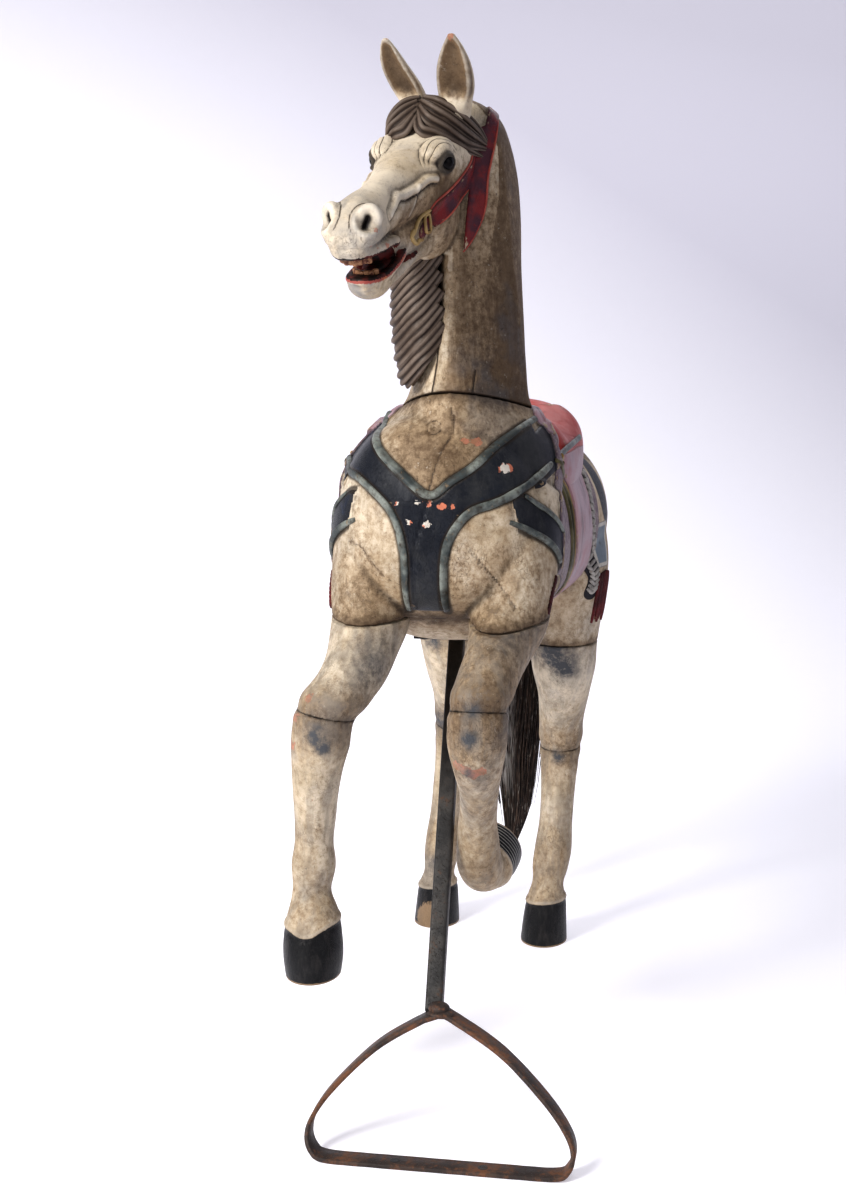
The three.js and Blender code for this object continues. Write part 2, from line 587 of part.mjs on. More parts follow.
const horse = new THREE.Group();
horse.position.set(-FOOTPRINT_MIDDLE[0], -FOOTPRINT_MIDDLE[1], 0);

function place(name, solid, color, roughness, metalness = 0) {
  const material = new THREE.MeshStandardMaterial({ color, roughness, metalness });
  const mesh = new THREE.Mesh(geometryOf(solid), material);
  mesh.name = name;
  horse.add(mesh);
}

const limbs = Object.fromEntries(Object.entries(LIMBS).map(([name, shape]) => [name, limb(shape)]));
const [neckFoot, neckTop] = split(neckForm(0), NECK_JOINT.at, NECK_JOINT.normal);
const aboveJoint = beyond(NECK_JOINT.at, NECK_JOINT.normal, GAP / 2);
const aboveWithers = beyond(NECK_JOINT.at, NECK_JOINT.normal, -GAP / 2)
  .intersect(beyond(vec(0, WITHERS_Y, 0), vec(0, -1, 0)));

// The room each leg needs below its joint, where the belly bulges down beside it.
const legRooms = Object.values(LIMBS).map(({ rows, top }) => carve(rows, { sides: 12, grow: GAP })
  .intersect(beyond(top.at, top.normal, -GAP / 2)));

const trunk = join(barrel(0), neckFoot, collar(), ...Object.values(limbs).map((l) => l.socket))
  .subtract(aboveWithers)
  .add(saddle().subtract(neckForm(GAP)))
  .subtract(join(...legRooms, tail(GAP)))
  .intersect(join(beyond(vec(0, 0, BELLY_Z), vec(0, 0, 1)), beyond(vec(0, FLANK_Y, 0), vec(0, 1, 0))));
place("trunk", trunk, 0xb5a88e, 0.6);

const eyeball = (side, r) => posed(ball(...eyePlace(side), r, r, r, 10));
const sockets = [1, -1].map((side) => eyeball(side, EYE_RADIUS + GAP));
const head = oneBody(join(posed(headBlock()), neckTop, bridle(), mane())
  .subtract(join(...sockets)).intersect(aboveJoint));
place("neck_and_head", head, 0xbdb49c, 0.6);
for (const [name, { upper, lower }] of Object.entries(limbs)) {
  place(`${name}_upper`, upper, 0xb9ae97, 0.6);
  place(`${name}_lower`, lower, 0xb9ae97, 0.6);
}
place("left_eye", eyeball(1, EYE_RADIUS), 0x0b0b0d, 0.1);
place("right_eye", eyeball(-1, EYE_RADIUS), 0x0b0b0d, 0.1);
place("tail", tail(), 0x2a211c, 0.8);
place("belly_plate", plate(), 0x26221f, 0.5, 0.6);
place("stand_post", post(), 0x26221f, 0.5, 0.6);
place("stand_loop", loop(), 0x5a3a2a, 0.8, 0.4);

export default horse;
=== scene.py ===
# A carved and painted carousel horse on its iron stand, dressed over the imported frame.
import math
import bpy
import bmesh
import numpy as np
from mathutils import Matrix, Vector
from mathutils.bvhtree import BVHTree


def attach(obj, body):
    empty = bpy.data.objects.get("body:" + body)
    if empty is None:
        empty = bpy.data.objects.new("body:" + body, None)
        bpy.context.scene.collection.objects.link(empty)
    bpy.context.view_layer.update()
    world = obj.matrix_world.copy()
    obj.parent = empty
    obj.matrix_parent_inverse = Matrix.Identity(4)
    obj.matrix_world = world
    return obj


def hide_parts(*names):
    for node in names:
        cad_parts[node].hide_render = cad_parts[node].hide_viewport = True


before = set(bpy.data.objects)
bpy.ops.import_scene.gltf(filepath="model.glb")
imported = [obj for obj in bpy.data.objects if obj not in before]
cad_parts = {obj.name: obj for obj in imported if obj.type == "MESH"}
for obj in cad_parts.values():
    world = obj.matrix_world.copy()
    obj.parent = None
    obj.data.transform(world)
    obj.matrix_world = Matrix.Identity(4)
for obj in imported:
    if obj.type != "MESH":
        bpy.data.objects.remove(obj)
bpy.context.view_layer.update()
print("frame loaded")

middle = np.array([13.0, 8.0, 0.0])  # the carving is laid out in mm from here, then set over the origin
rng = np.random.default_rng(7)
jointSetBack = 0.4  # each piece stops this far from a glued joint, in mm
outOfReach = -60  # mask value for a point that a pattern never comes to


def blendRows(rows, steps):
    rows = np.array(rows, float)
    last = len(rows) - 1
    out = []
    for i in range(last):
        p0, p1, p2, p3 = rows[max(i - 1, 0)], rows[i], rows[i + 1], rows[min(i + 2, last)]
        for k in range(steps):
            t = k / steps
            out.append(p1 * (2 * t**3 - 3 * t**2 + 1) + (p2 - p0) / 2 * (t**3 - 2 * t**2 + t)
                       + p2 * (3 * t**2 - 2 * t**3) + (p3 - p1) / 2 * (t**3 - t**2))
    return np.array(out + [rows[last]])


def unit(v):
    v = np.asarray(v, float)
    return v / max(np.linalg.norm(v), 1e-9)


def ringFaces(count, sides, caps=True):
    faces = []
    for r in range(count - 1):
        for i in range(sides):
            j = (i + 1) % sides
            faces.append((r * sides + i, r * sides + j, (r + 1) * sides + j, (r + 1) * sides + i))
    if caps:
        faces.append(tuple(reversed(range(sides))))
        faces.append(tuple(range((count - 1) * sides, count * sides)))
    return faces


# A form through rows [x, y, z, half-width, up, down, narrow above, narrow below, yaw].
def carve(rows, sides=48, steps=6, across=(1, 0, 0), along=None, yaw=False, power=2.0, ribs=None):
    rows = [list(r) + [0] * (9 - len(r)) for r in rows]
    st = blendRows(rows, steps)
    n = len(st)
    angle = np.arange(sides) / sides * 2 * math.pi
    full = lambda v: np.sign(v) * np.abs(v)**(2 / power)
    s, c = full(np.sin(angle)), full(np.cos(angle))
    rings = np.zeros((n, sides, 3))
    for i in range(n):
        centre, (w, high, low, narrowUp, narrowDown, turn) = st[i, :3], st[i, 3:9]
        run = unit(along) if along is not None else unit(st[min(i + 1, n - 1), :3] - st[max(i - 1, 0), :3])
        a = math.radians(-turn) if yaw else 0
        side = np.array(across, float)
        side = np.array([side[0] * math.cos(a) - side[1] * math.sin(a),
                         side[0] * math.sin(a) + side[1] * math.cos(a), side[2]])
        side = unit(side - run * np.dot(side, run))
        up = np.cross(run, side)
        narrow = np.where(s > 0, 1 - narrowUp * s, 1 + narrowDown * s)
        swell = ribs(angle, i / (n - 1)) if ribs else 1.0
        tall = s * np.where(s > 0, high, low) * swell
        rings[i] = centre + np.outer(w * c * narrow * swell, side) + np.outer(tall, up)
    return rings.reshape(-1, 3), ringFaces(n, sides)


def ball(x, y, z, rx, ry, rz):
    rows = [[x, y, z - rz * math.cos(t), *[max(math.sin(t), 0.02) * v for v in (rx, ry, ry)]]
            for t in np.linspace(0, math.pi, 18)]
    return carve(rows, sides=32, steps=1, along=(0, 0, 1))


# A tube along points, with its width and height across the surface it lies on.
def tube(points, wide, high, normals=None, sides=10, closed=False, taper=0.0):
    points = np.array(points, float)
    n = len(points)
    angle = np.arange(sides) / sides * 2 * math.pi
    rings = np.zeros((n, sides, 3))
    for i in range(n):
        if closed:
            before, after = points[i - 1], points[(i + 1) % n]
        else:
            before, after = points[max(i - 1, 0)], points[min(i + 1, n - 1)]
        run = unit(after - before)
        normal = normals[i] if normals is not None else np.array([0.3, 0.2, 1.0])
        side = unit(np.cross(run, normal))
        up = np.cross(side, run)
        t = i / max(n - 1, 1)
        k = 1.0 if taper == 0 else 1 - taper * abs(2 * t - 1)**4
        rings[i] = points[i] + np.outer(np.cos(angle) * wide * k, side)
        rings[i] += np.outer(np.sin(angle) * high * k, up)
    faces = ringFaces(n, sides, not closed)
    if closed:
        for i in range(sides):
            j = (i + 1) % sides
            faces.append(((n - 1) * sides + i, (n - 1) * sides + j, j, i))
    return rings.reshape(-1, 3), faces


def merged(shapes):
    verts, faces, base = [], [], 0
    for v, f in shapes:
        verts.append(v)
        faces += [tuple(k + base for k in face) for face in f]
        base += len(v)
    return np.concatenate(verts), faces


def newObject(name, shape, place=True):
    verts, faces = shape
    mesh = bpy.data.meshes.new(name)
    co = (np.asarray(verts) - middle) / 1000 if place else np.asarray(verts)
    mesh.from_pydata(co.tolist(), [], faces)
    mesh.update()
    obj = bpy.data.objects.new(name, mesh)
    bpy.context.scene.collection.objects.link(obj)
    bm = bmesh.new()
    bm.from_mesh(mesh)
    bmesh.ops.recalc_face_normals(bm, faces=bm.faces)
    bm.to_mesh(mesh)
    bm.free()
    for p in mesh.polygons:
        p.use_smooth = True
    return obj


def applied(obj, kind, **settings):
    bpy.ops.object.select_all(action="DESELECT")
    bpy.context.view_layer.objects.active = obj
    obj.select_set(True)
    modifier = obj.modifiers.new(kind.lower(), kind)
    for key, value in settings.items():
        setattr(modifier, key, value)
    bpy.ops.object.modifier_apply(modifier=modifier.name)
    return obj


def points(obj):  # in mm, before the shift over the origin
    co = np.zeros(len(obj.data.vertices) * 3)
    obj.data.vertices.foreach_get("co", co)
    return co.reshape(-1, 3) * 1000 + middle


def setPoints(obj, co):
    obj.data.vertices.foreach_set("co", ((co - middle) / 1000).ravel())
    obj.data.update()


def normals(obj):
    no = np.zeros(len(obj.data.vertices) * 3)
    obj.data.vertices.foreach_get("normal", no)
    return no.reshape(-1, 3)


def store(obj, name, values):
    layer = obj.data.attributes.new(name, "FLOAT", "POINT")
    layer.data.foreach_set("value", np.asarray(values, np.float32))


def fuse(name, shapes, voxel, rounds=6):
    obj = newObject(name, merged(shapes))
    applied(obj, "REMESH", mode="VOXEL", voxel_size=voxel / 1000, use_smooth_shade=True)
    applied(obj, "SMOOTH", factor=0.5, iterations=rounds)
    return obj


# Keeps the side of a plane that its normal points away from, and closes the cut.
def cutBack(obj, at, normal):
    bm = bmesh.new()
    bm.from_mesh(obj.data)
    at = (np.array(at, float) - middle) / 1000
    bmesh.ops.bisect_plane(bm, geom=bm.verts[:] + bm.edges[:] + bm.faces[:], plane_co=at,
                           plane_no=unit(normal), clear_outer=True, dist=1e-6)
    edges = [e for e in bm.edges if e.is_boundary]
    bmesh.ops.holes_fill(bm, edges=edges, sides=0)
    bm.to_mesh(obj.data)
    bm.free()
    return obj


def shapeOf(obj):
    return points(obj), [tuple(p.vertices) for p in obj.data.polygons]


def copyOf(obj, name):
    other = obj.copy()
    other.data = obj.data.copy()
    other.name = name
    bpy.context.scene.collection.objects.link(other)
    return other


def drop(obj):
    bpy.data.objects.remove(obj)


def ease(edge0, edge1, v):
    t = np.clip((v - edge0) / (edge1 - edge0), 0, 1)
    return t * t * (3 - 2 * t)


def lineDist(line, p):
    line = np.array(line, float)
    best = np.full(len(p), 1e9)
    for a, b in zip(line[:-1], line[1:]):
        ab = b - a
        t = np.clip(((p - a) @ ab) / max(ab @ ab, 1e-9), 0, 1)
        best = np.minimum(best, np.linalg.norm(p - a - t[:, None] * ab, axis=1))
    return best


def inside(outline, p):  # signed distance, above 0 inside
    outline = np.array(outline, float)
    loop = np.vstack([outline, outline[:1]])
    hit = np.zeros(len(p), bool)
    for (ax, az), (bx, bz) in zip(loop[:-1], loop[1:]):
        crosses = (az > p[:, 1]) != (bz > p[:, 1])
        at = ax + (p[:, 1] - az) * (bx - ax) / (bz - az if bz != az else 1e-9)
        hit ^= crosses & (p[:, 0] < at)
    d = lineDist(loop, p)
    return np.where(hit, d, -d)


def smoothLine(line, steps=8):
    return blendRows(line, steps)


# How far each point stands proud of, or lies below, the surface round it.
def cavity(obj, spread):
    me = obj.data
    edges = np.zeros(len(me.edges) * 2, int)
    me.edges.foreach_get("vertices", edges)
    a, b = edges.reshape(-1, 2).T
    co = points(obj)
    count = np.bincount(a, minlength=len(co)) + np.bincount(b, minlength=len(co))
    even = co.copy()
    for _ in range(spread):
        total = np.zeros_like(co)
        for k in range(3):
            total[:, k] = np.bincount(a, even[b, k], len(co)) + np.bincount(b, even[a, k], len(co))
        even = total / np.maximum(count, 1)[:, None]
    return np.einsum("ij,ij->i", co - even, normals(obj))


def surfaceTree(obj):
    bm = bmesh.new()
    bm.from_mesh(obj.data)
    tree = BVHTree.FromBMesh(bm)
    bm.free()
    return tree


# Where a ray along `way` from a point in mm first meets the surface, with the normal there.
def landOn(tree, origin, way):
    hit = tree.ray_cast(Vector(((np.array(origin, float) - middle) / 1000).tolist()),
                        Vector(unit(way).tolist()))
    if hit[0] is None:
        return None
    return np.array(hit[0]) * 1000 + middle, np.array(hit[1])


# A half-round bead along a run of points, laid on the surface.
def bead(tree, starts, way, wide, high, lift=0.0, step=4):
    starts = np.array(starts, float)
    dense = [starts[0]]
    for a, b in zip(starts[:-1], starts[1:]):
        count = max(int(np.linalg.norm(b - a) / step), 1)
        dense += [a + (b - a) * (k + 1) / count for k in range(count)]
    found = [landOn(tree, p, way) for p in dense]
    found = [f for f in found if f is not None]
    if len(found) < 3:
        return None
    at = np.array([f[0] for f in found])
    no = np.array([f[1] for f in found])
    for _ in range(3):
        at[1:-1] = (at[:-2] + at[1:-1] * 2 + at[2:]) / 4
        no[1:-1] = (no[:-2] + no[1:-1] * 2 + no[2:]) / 4
    return tube(at + no * lift, wide, high, normals=[unit(n) for n in no], sides=12, taper=0.35)


class Wire:
    def __init__(self, tree, socket):
        self.tree = tree
        self.socket = socket

    def make(self, kind, settings=None, inputs=None, out=0):
        node = self.tree.nodes.new(kind)
        for key, value in (settings or {}).items():
            if key == "stops":
                while len(node.color_ramp.elements) < len(value):
                    node.color_ramp.elements.new(0.5)
                for element, (at, tone) in zip(node.color_ramp.elements, value):
                    element.position = at
                    element.color = (*tone, 1) if isinstance(tone, tuple) else (tone, tone, tone, 1)
            else:
                setattr(node, key, value)
        for key, value in (inputs or {}).items():
            target = node.inputs[key]
            if isinstance(value, Wire):
                self.tree.links.new(value.socket, target)
            elif isinstance(value, tuple) and len(value) == 3 and target.type == "RGBA":
                target.default_value = (*value, 1)
            else:
                target.default_value = value
        return Wire(self.tree, node.outputs[out])

    def math(self, operation, other=0.0, clamp=False):
        return self.make("ShaderNodeMath", {"operation": operation, "use_clamp": clamp}, {0: self, 1: other})

    def __add__(self, other):
        return self.math("ADD", other)

    __radd__ = __add__

    def __sub__(self, other):
        return self.math("SUBTRACT", other)

    def __rsub__(self, other):
        return self.make("ShaderNodeMath", {"operation": "SUBTRACT"}, {0: other, 1: self})

    def __mul__(self, other):
        return self.math("MULTIPLY", other)

    __rmul__ = __mul__

    def step(self, low, high):
        return self.make("ShaderNodeMapRange", {"interpolation_type": "SMOOTHSTEP"},
                         {0: self, 1: low, 2: high, 3: 0.0, 4: 1.0})

    def most(self, other):
        return self.math("MAXIMUM", other)

    def clamped(self):
        return self.make("ShaderNodeClamp", None, {0: self})


def mixTone(a, b, mask, mode="MIX"):
    wire = mask if isinstance(mask, Wire) else (a if isinstance(a, Wire) else b)
    return wire.make("ShaderNodeMix", {"data_type": "RGBA", "blend_type": mode}, {0: mask, 6: a, 7: b}, out=2)


def startMaterial(name):
    material = bpy.data.materials.new(name)
    material.use_nodes = True
    tree = material.node_tree
    tree.nodes.clear()
    coords = tree.nodes.new("ShaderNodeTexCoord")
    return material, Wire(tree, coords.outputs["Object"])


def noise(at, scale, detail=4.0, rough=0.6, distortion=0.0, stretch=None):
    if stretch:
        at = at.make("ShaderNodeVectorMath", {"operation": "MULTIPLY"}, {0: at, 1: stretch})
    return at.make("ShaderNodeTexNoise", None,
                   {"Vector": at, "Scale": scale, "Detail": detail, "Roughness": rough,
                    "Distortion": distortion})


def cells(at, scale, stretch=None, feature="DISTANCE_TO_EDGE", warp=0.0):
    if stretch:
        at = at.make("ShaderNodeVectorMath", {"operation": "MULTIPLY"}, {0: at, 1: stretch})
    if warp:
        shift = at.make("ShaderNodeTexNoise", None, {"Vector": at, "Scale": scale * 0.7, "Detail": 3.0},
                        out=1)
        shift = shift.make("ShaderNodeVectorMath", {"operation": "SCALE"}, {0: shift, 3: warp})
        at = at.make("ShaderNodeVectorMath", {"operation": "ADD"}, {0: at, 1: shift})
    return at.make("ShaderNodeTexVoronoi", {"feature": feature}, {"Vector": at, "Scale": scale})


def attribute(at, name):
    return at.make("ShaderNodeAttribute", {"attribute_name": name}, None, out=2)


def finishMaterial(material, at, tone, rough, height=None, strength=0.5, distance=0.002, metal=0.0, coat=0.0,
                   specular=0.22):
    inputs = {"Base Color": tone, "Roughness": rough, "Metallic": metal}
    shader = at.make("ShaderNodeBsdfPrincipled", None, inputs)
    node = shader.socket.node
    node.inputs["Coat Weight"].default_value = coat
    node.inputs["Coat Roughness"].default_value = 0.25
    node.inputs["Specular IOR Level"].default_value = specular
    if height is not None:
        bumped = at.make("ShaderNodeBump", None,
                         {"Strength": strength, "Distance": distance, "Height": height})
        at.tree.links.new(bumped.socket, node.inputs["Normal"])
    out = at.tree.nodes.new("ShaderNodeOutputMaterial")
    at.tree.links.new(shader.socket, out.inputs["Surface"])
    return material


paint = {
    "cream": (0.57, 0.47, 0.335),
    "white": (0.69, 0.60, 0.47),
    "grey": (0.33, 0.315, 0.31),
    "ochre": (0.28, 0.19, 0.105),
    "brown": (0.085, 0.050, 0.027),
    "dirt": (0.028, 0.02, 0.014),
    "navy": (0.010, 0.012, 0.018),
}


# Old cream oil paint: thin and stained, cracked, dirty and darkened with painted shade in the hollows, and
# worn and lightened with a painted highlight on the raised edges.
def agedCream(at, stain=0.0):
    wide = noise(at, 5.0, 5.0, 0.62, 0.6)
    streak = noise(at, 15.0, 8.0, 0.72, 0.2, stretch=(2.4, 2.4, 0.4))
    fine = noise(at, 95.0, 8.0, 0.74)
    speck = noise(at, 210.0, 3.0, 0.6)
    soil = attribute(at, "soil")
    hollow = attribute(at, "hollow")
    tone = mixTone(paint["white"], paint["cream"], wide.step(0.42, 0.6))
    tone = mixTone(tone, paint["grey"],
                   (noise(at, 14.0, 5.0, 0.65).step(0.5, 0.68) * (0.32 + stain)).clamped())
    shade = noise(at, 7.0, 4.0, 0.6).step(0.54, 0.66) * (soil * 0.9 + 0.22).clamped()
    brown = ((streak - 0.5) * 0.95 + (wide - 0.5) * 0.5 + (soil + stain) * 1.3 + (fine - 0.5) * 1.3
             - 0.03).clamped()
    tone = mixTone(tone, paint["ochre"], brown.step(-0.1, 0.7) * 0.85)
    tone = mixTone(tone, paint["brown"], brown.step(0.45, 1.1) * 0.78)
    tone = mixTone(tone, (0.10, 0.105, 0.115), (shade * 0.6 + shade * (fine - 0.5) * 1.5).clamped())
    mottle = (fine.step(0.48, 0.66) * (soil * 0.9 + 0.25)).clamped()
    tone = mixTone(tone, paint["brown"], mottle * 0.5)
    crackle = 1 - cells(at, 330.0, warp=0.4).step(0.0, 0.16)
    tone = mixTone(tone, paint["brown"],
                   (crackle * noise(at, 24.0, 3.0).step(0.4, 0.62) * (soil * 0.5 + 0.12)).clamped())
    tone = mixTone(tone, (0.7, 0.64, 0.54),
                   (noise(at, 150.0, 4.0, 0.7).step(0.6, 0.72) * noise(at, 19.0, 3.0).step(0.45, 0.6)
                    * 0.4).clamped())
    specks = (speck.step(0.62, 0.72) * (soil + 0.4)).clamped()
    tone = mixTone(tone, paint["dirt"], specks * 0.6)
    crackA = 1 - cells(at, 46.0, stretch=(1, 1, 0.62), warp=0.25).step(0.0, 0.035)
    crackB = 1 - cells(at, 120.0, warp=0.3).step(0.0, 0.03)
    patch = noise(at, 11.0, 3.0).step(0.46, 0.6)
    cracks = (crackA * patch * 0.8).most(crackB * noise(at, 17.0, 3.0).step(0.5, 0.62) * 0.6)
    tone = mixTone(tone, paint["brown"], (cracks * 0.75).clamped())
    # darker in the hollows: dirt together with painted shade
    grimeAndHollowShade = ((0 - hollow) * 0.55 + (fine - 0.5) * 0.8 + soil * 0.25 - 0.1).clamped()
    tone = mixTone(tone, paint["dirt"], grimeAndHollowShade * 0.8)
    # lighter on the raised edges: worn paint together with a painted highlight
    rubbedAndEdgeHighlight = ((hollow * 0.5) + (fine - 0.5) * 1.4 - 0.35).clamped()
    tone = mixTone(tone, (0.78, 0.72, 0.62), rubbedAndEdgeHighlight * 0.6)
    chip = attribute(at, "chips") + (noise(at, 90.0, 5.0, 0.7) - 0.5) * 1.5
    chip = chip + (noise(at, 22.0, 2.0) - 0.5) * 0.8
    chips = chip.step(0.62, 0.67)
    bare = mixTone((0.5, 0.2, 0.13), (0.36, 0.17, 0.1), noise(at, 120.0).step(0.4, 0.6))
    tone = mixTone(tone, bare, chips * 0.85)
    split = attribute(at, "split")
    tone = mixTone(tone, paint["brown"], (split + (fine - 0.5) * 1.6).step(0.15, 0.9) * 0.55)
    tone = mixTone(tone, paint["dirt"],
                   (split + (noise(at, 28.0, 4.0) - 0.5) * 1.1 * split).step(0.55, 0.85) * 0.92)
    height = fine * 0.35 + speck * 0.12 - cracks * 0.6 - chips * 0.7 - split * 1.6 + streak * 0.4
    rough = 0.5 + brown * 0.15 + (fine - 0.5) * 0.25
    return tone, rough, height, fine


def overPaint(at, base, mask, tone, rough, fine, chipping=0.1, edge=0.8):
    baseTone, baseRough, baseHeight = base
    on = mask.step(-0.3 * edge, 0.9 * edge)
    line = on * (1 - mask.step(0.6, 2.4))
    worn = ((noise(at, 75.0, 5.0, 0.7) - 0.5) * 1.6 + attribute(at, "hollow") * 0.22
            + chipping).step(0.42, 0.5)
    tone = mixTone(tone, paint["dirt"], (line * 0.7).clamped())
    tone = mixTone(tone, mixTone(paint["ochre"], paint["cream"], fine.step(0.45, 0.6)), worn * 0.75)
    height = baseHeight + on * 0.8 - worn * on * 0.5
    return mixTone(baseTone, tone, on), rough * on + baseRough * (1 - on), height


print("tools ready")

trunk = {
    # rump to chest
    "barrel": [
        [15, 506, 800, 30, 30, 30], [15, 496, 800, 84, 74, 76], [15, 465, 795, 140, 112, 110],
        [16, 415, 782, 172, 142, 124, 0.05], [16, 340, 776, 183, 156, 132, 0.05],
        [12, 240, 776, 172, 156, 140, 0.05], [8, 130, 780, 163, 158, 146, 0.05],
        [5, 20, 780, 161, 172, 148, 0.05], [2, -80, 780, 165, 190, 148, 0.1],
        [0, -170, 785, 164, 196, 142, 0.1], [0, -232, 795, 155, 186, 120, 0.1],
        [0, -275, 805, 130, 165, 105, 0.1], [0, -303, 810, 95, 120, 85, 0.1], [0, -318, 812, 45, 60, 45],
    ],
    # poll to shoulders
    "neck": [
        [24, -212, 1412, 14, 14, 22, 0, 0, 16], [30, -208, 1400, 32, 30, 54, 0, 0.1, 16],
        [36, -200, 1378, 42, 38, 88, 0, 0.1, 16], [39, -190, 1322, 49, 54, 124, 0.1, 0.15, 16],
        [43, -182, 1255, 52, 78, 124, 0.35, 0.15, 16], [45, -174, 1186, 56, 98, 116, 0.4, 0.15, 14],
        [45, -168, 1138, 61, 106, 114, 0.4, 0.15, 12], [42, -163, 1095, 68, 114, 116, 0.35, 0.15, 10],
        [34, -156, 1046, 80, 124, 124, 0.3, 0.15, 6], [28, -148, 995, 91, 134, 140, 0.2, 0.15, 3],
        [22, -145, 962, 114, 142, 150, 0.1, 0.1, 0], [12, -143, 922, 144, 152, 158, 0.1, 0.1, 0],
        [3, -140, 880, 160, 156, 160], [0, -140, 830, 158, 150, 150],
    ],
    "neckJoint": ((28, -200, 994), (0, 0.21, 1)),
    "belly": 642,
    "voxel": 3.7,
}
limbs = {
    "right_foreleg": {
        "rows": [
            [-98, -165, 860, 56, 84, 84], [-99, -198, 780, 60, 90, 90], [-99, -225, 725, 59, 80, 80],
            [-97, -245, 690, 57, 68, 70], [-103, -263, 655, 51, 60, 62], [-110, -286, 623, 46, 53, 55],
            [-125, -312, 592, 41, 47, 48], [-146, -332, 560, 42, 46, 46], [-152, -335, 523, 42, 44, 45],
            [-158, -331, 485, 37, 40, 40], [-162, -326, 447, 33, 35, 35], [-164, -322, 409, 30, 32, 32],
            [-167, -318, 370, 28, 31, 31], [-168, -318, 335, 32, 35, 35], [-170, -322, 298, 28, 31, 31],
            [-166, -332, 265, 38, 40, 38], [-165, -338, 232, 42.6, 48, 44],
            [-164, -341, 205, 42.7, 52, 47], [-164, -343, 172, 38, 48, 44],
        ],
        "top": ((-97, -245, 690), (0, 0.1, -1)),
        "middle": ((-146, -332, 560), (-0.2, -0.1, -1)),
        "sole": ((-164, -344, 182), (0, 0.05, -1)),
        "hoof": 72,
    },
    "left_foreleg": {
        "rows": [
            [108, -160, 860, 60, 84, 84], [106, -196, 780, 63, 90, 90], [104, -226, 725, 60, 80, 80],
            [102, -250, 690, 57, 66, 70], [97, -282, 662, 47, 57, 60], [92, -312, 640, 42, 52, 52],
            [85, -345, 615, 41, 48, 50], [79, -366, 590, 41, 46, 48], [77, -372, 562, 42, 44, 46],
            [76, -366, 532, 41, 43, 44], [75, -350, 500, 35, 40, 40], [73, -325, 465, 29, 34, 34],
            [69, -298, 431, 27, 31, 31], [64, -275, 396, 28, 32, 32], [62, -256, 362, 31, 35, 35],
            [61, -238, 330, 33, 37, 34], [62, -215, 312, 34, 36, 33], [64, -196, 310, 40, 42, 40],
            [66, -172, 316, 46, 50, 50], [68, -146, 326, 48, 54, 54],
        ],
        "top": ((102, -250, 690), (0, 0.1, -1)),
        "middle": ((84, -368, 580), (0, -0.2, -1)),
        "sole": ((68, -152, 322), (0.14, 0.9, 0.42)),
        "hoof": 36,
    },
    "left_hindleg": {
        "rows": [
            [112, 350, 780, 78, 110, 100], [124, 352, 700, 78, 108, 96], [126, 350, 630, 70, 92, 86],
            [126, 347, 554, 59, 72, 76], [126, 352, 508, 56, 60, 66], [125, 366, 460, 46, 50, 55],
            [120, 385, 410, 40, 44, 50], [118, 398, 370, 39, 42, 50], [117, 397, 342, 36, 40, 44],
            [116, 388, 299, 32, 34, 36], [115, 379, 257, 30, 32, 33], [113, 373, 213, 30, 32, 34],
            [110, 368, 171, 33, 36, 38], [105, 362, 136, 32, 34, 35], [102, 356, 108, 28, 31, 31],
            [100, 357, 78, 35, 40, 38], [97, 359, 40, 39, 47, 43], [95, 361, -4, 42, 54, 48],
        ],
        "top": ((126, 347, 553), (0, 0, -1)),
        "middle": ((117, 398, 352), (0, 0.1, -1)),
        "sole": ((0, 0, 0), (0, 0, -1)),
        "hoof": 74,
    },
    "right_hindleg": {
        "rows": [
            [-88, 365, 780, 78, 110, 100], [-90, 368, 700, 78, 104, 94], [-85, 370, 630, 66, 88, 84],
            [-81, 372, 556, 54, 70, 74], [-80, 384, 500, 46, 56, 60], [-80, 405, 447, 36, 46, 50],
            [-83, 430, 397, 34, 42, 46], [-85, 440, 355, 33, 41, 45], [-90, 438, 305, 28, 36, 38],
            [-94, 432, 255, 27, 31, 32], [-98, 428, 207, 27, 31, 31], [-101, 424, 163, 31, 34, 35],
            [-104, 420, 128, 31, 33, 34], [-107, 418, 97, 28, 31, 31], [-109, 421, 70, 36, 39, 38],
            [-111, 425, 38, 39, 46, 42], [-113, 428, -4, 42, 52, 48],
        ],
        "top": ((-81, 372, 556), (0, 0, -1)),
        "middle": ((-84, 436, 384), (0, 0.3, -1)),
        "sole": ((0, 0, 0), (0, 0, -1)),
        "hoof": 70,
    },
}
harness = {
    "vee": [
        [-110, 1005], [-90, 985], [-90, 965], [-85, 945], [-70, 925], [-40, 900], [0, 870], [30, 890],
        [60, 910], [90, 940], [130, 970],
    ],
    "right": [
        [-175, 950], [-135, 900], [-105, 890], [-65, 860], [-45, 830], [-35, 785], [-35, 745], [-35, 705],
    ],
    "left": [
        [20, 705], [20, 755], [25, 800], [40, 830], [60, 850], [90, 860], [120, 875], [150, 900],
        [175, 940],
    ],
    "side": [[-280, 850], [-215, 805], [-170, 770], [-120, 730], [-90, 700]],
    "shoulder": [[-235, 905], [-150, 930], [-60, 925]],
}
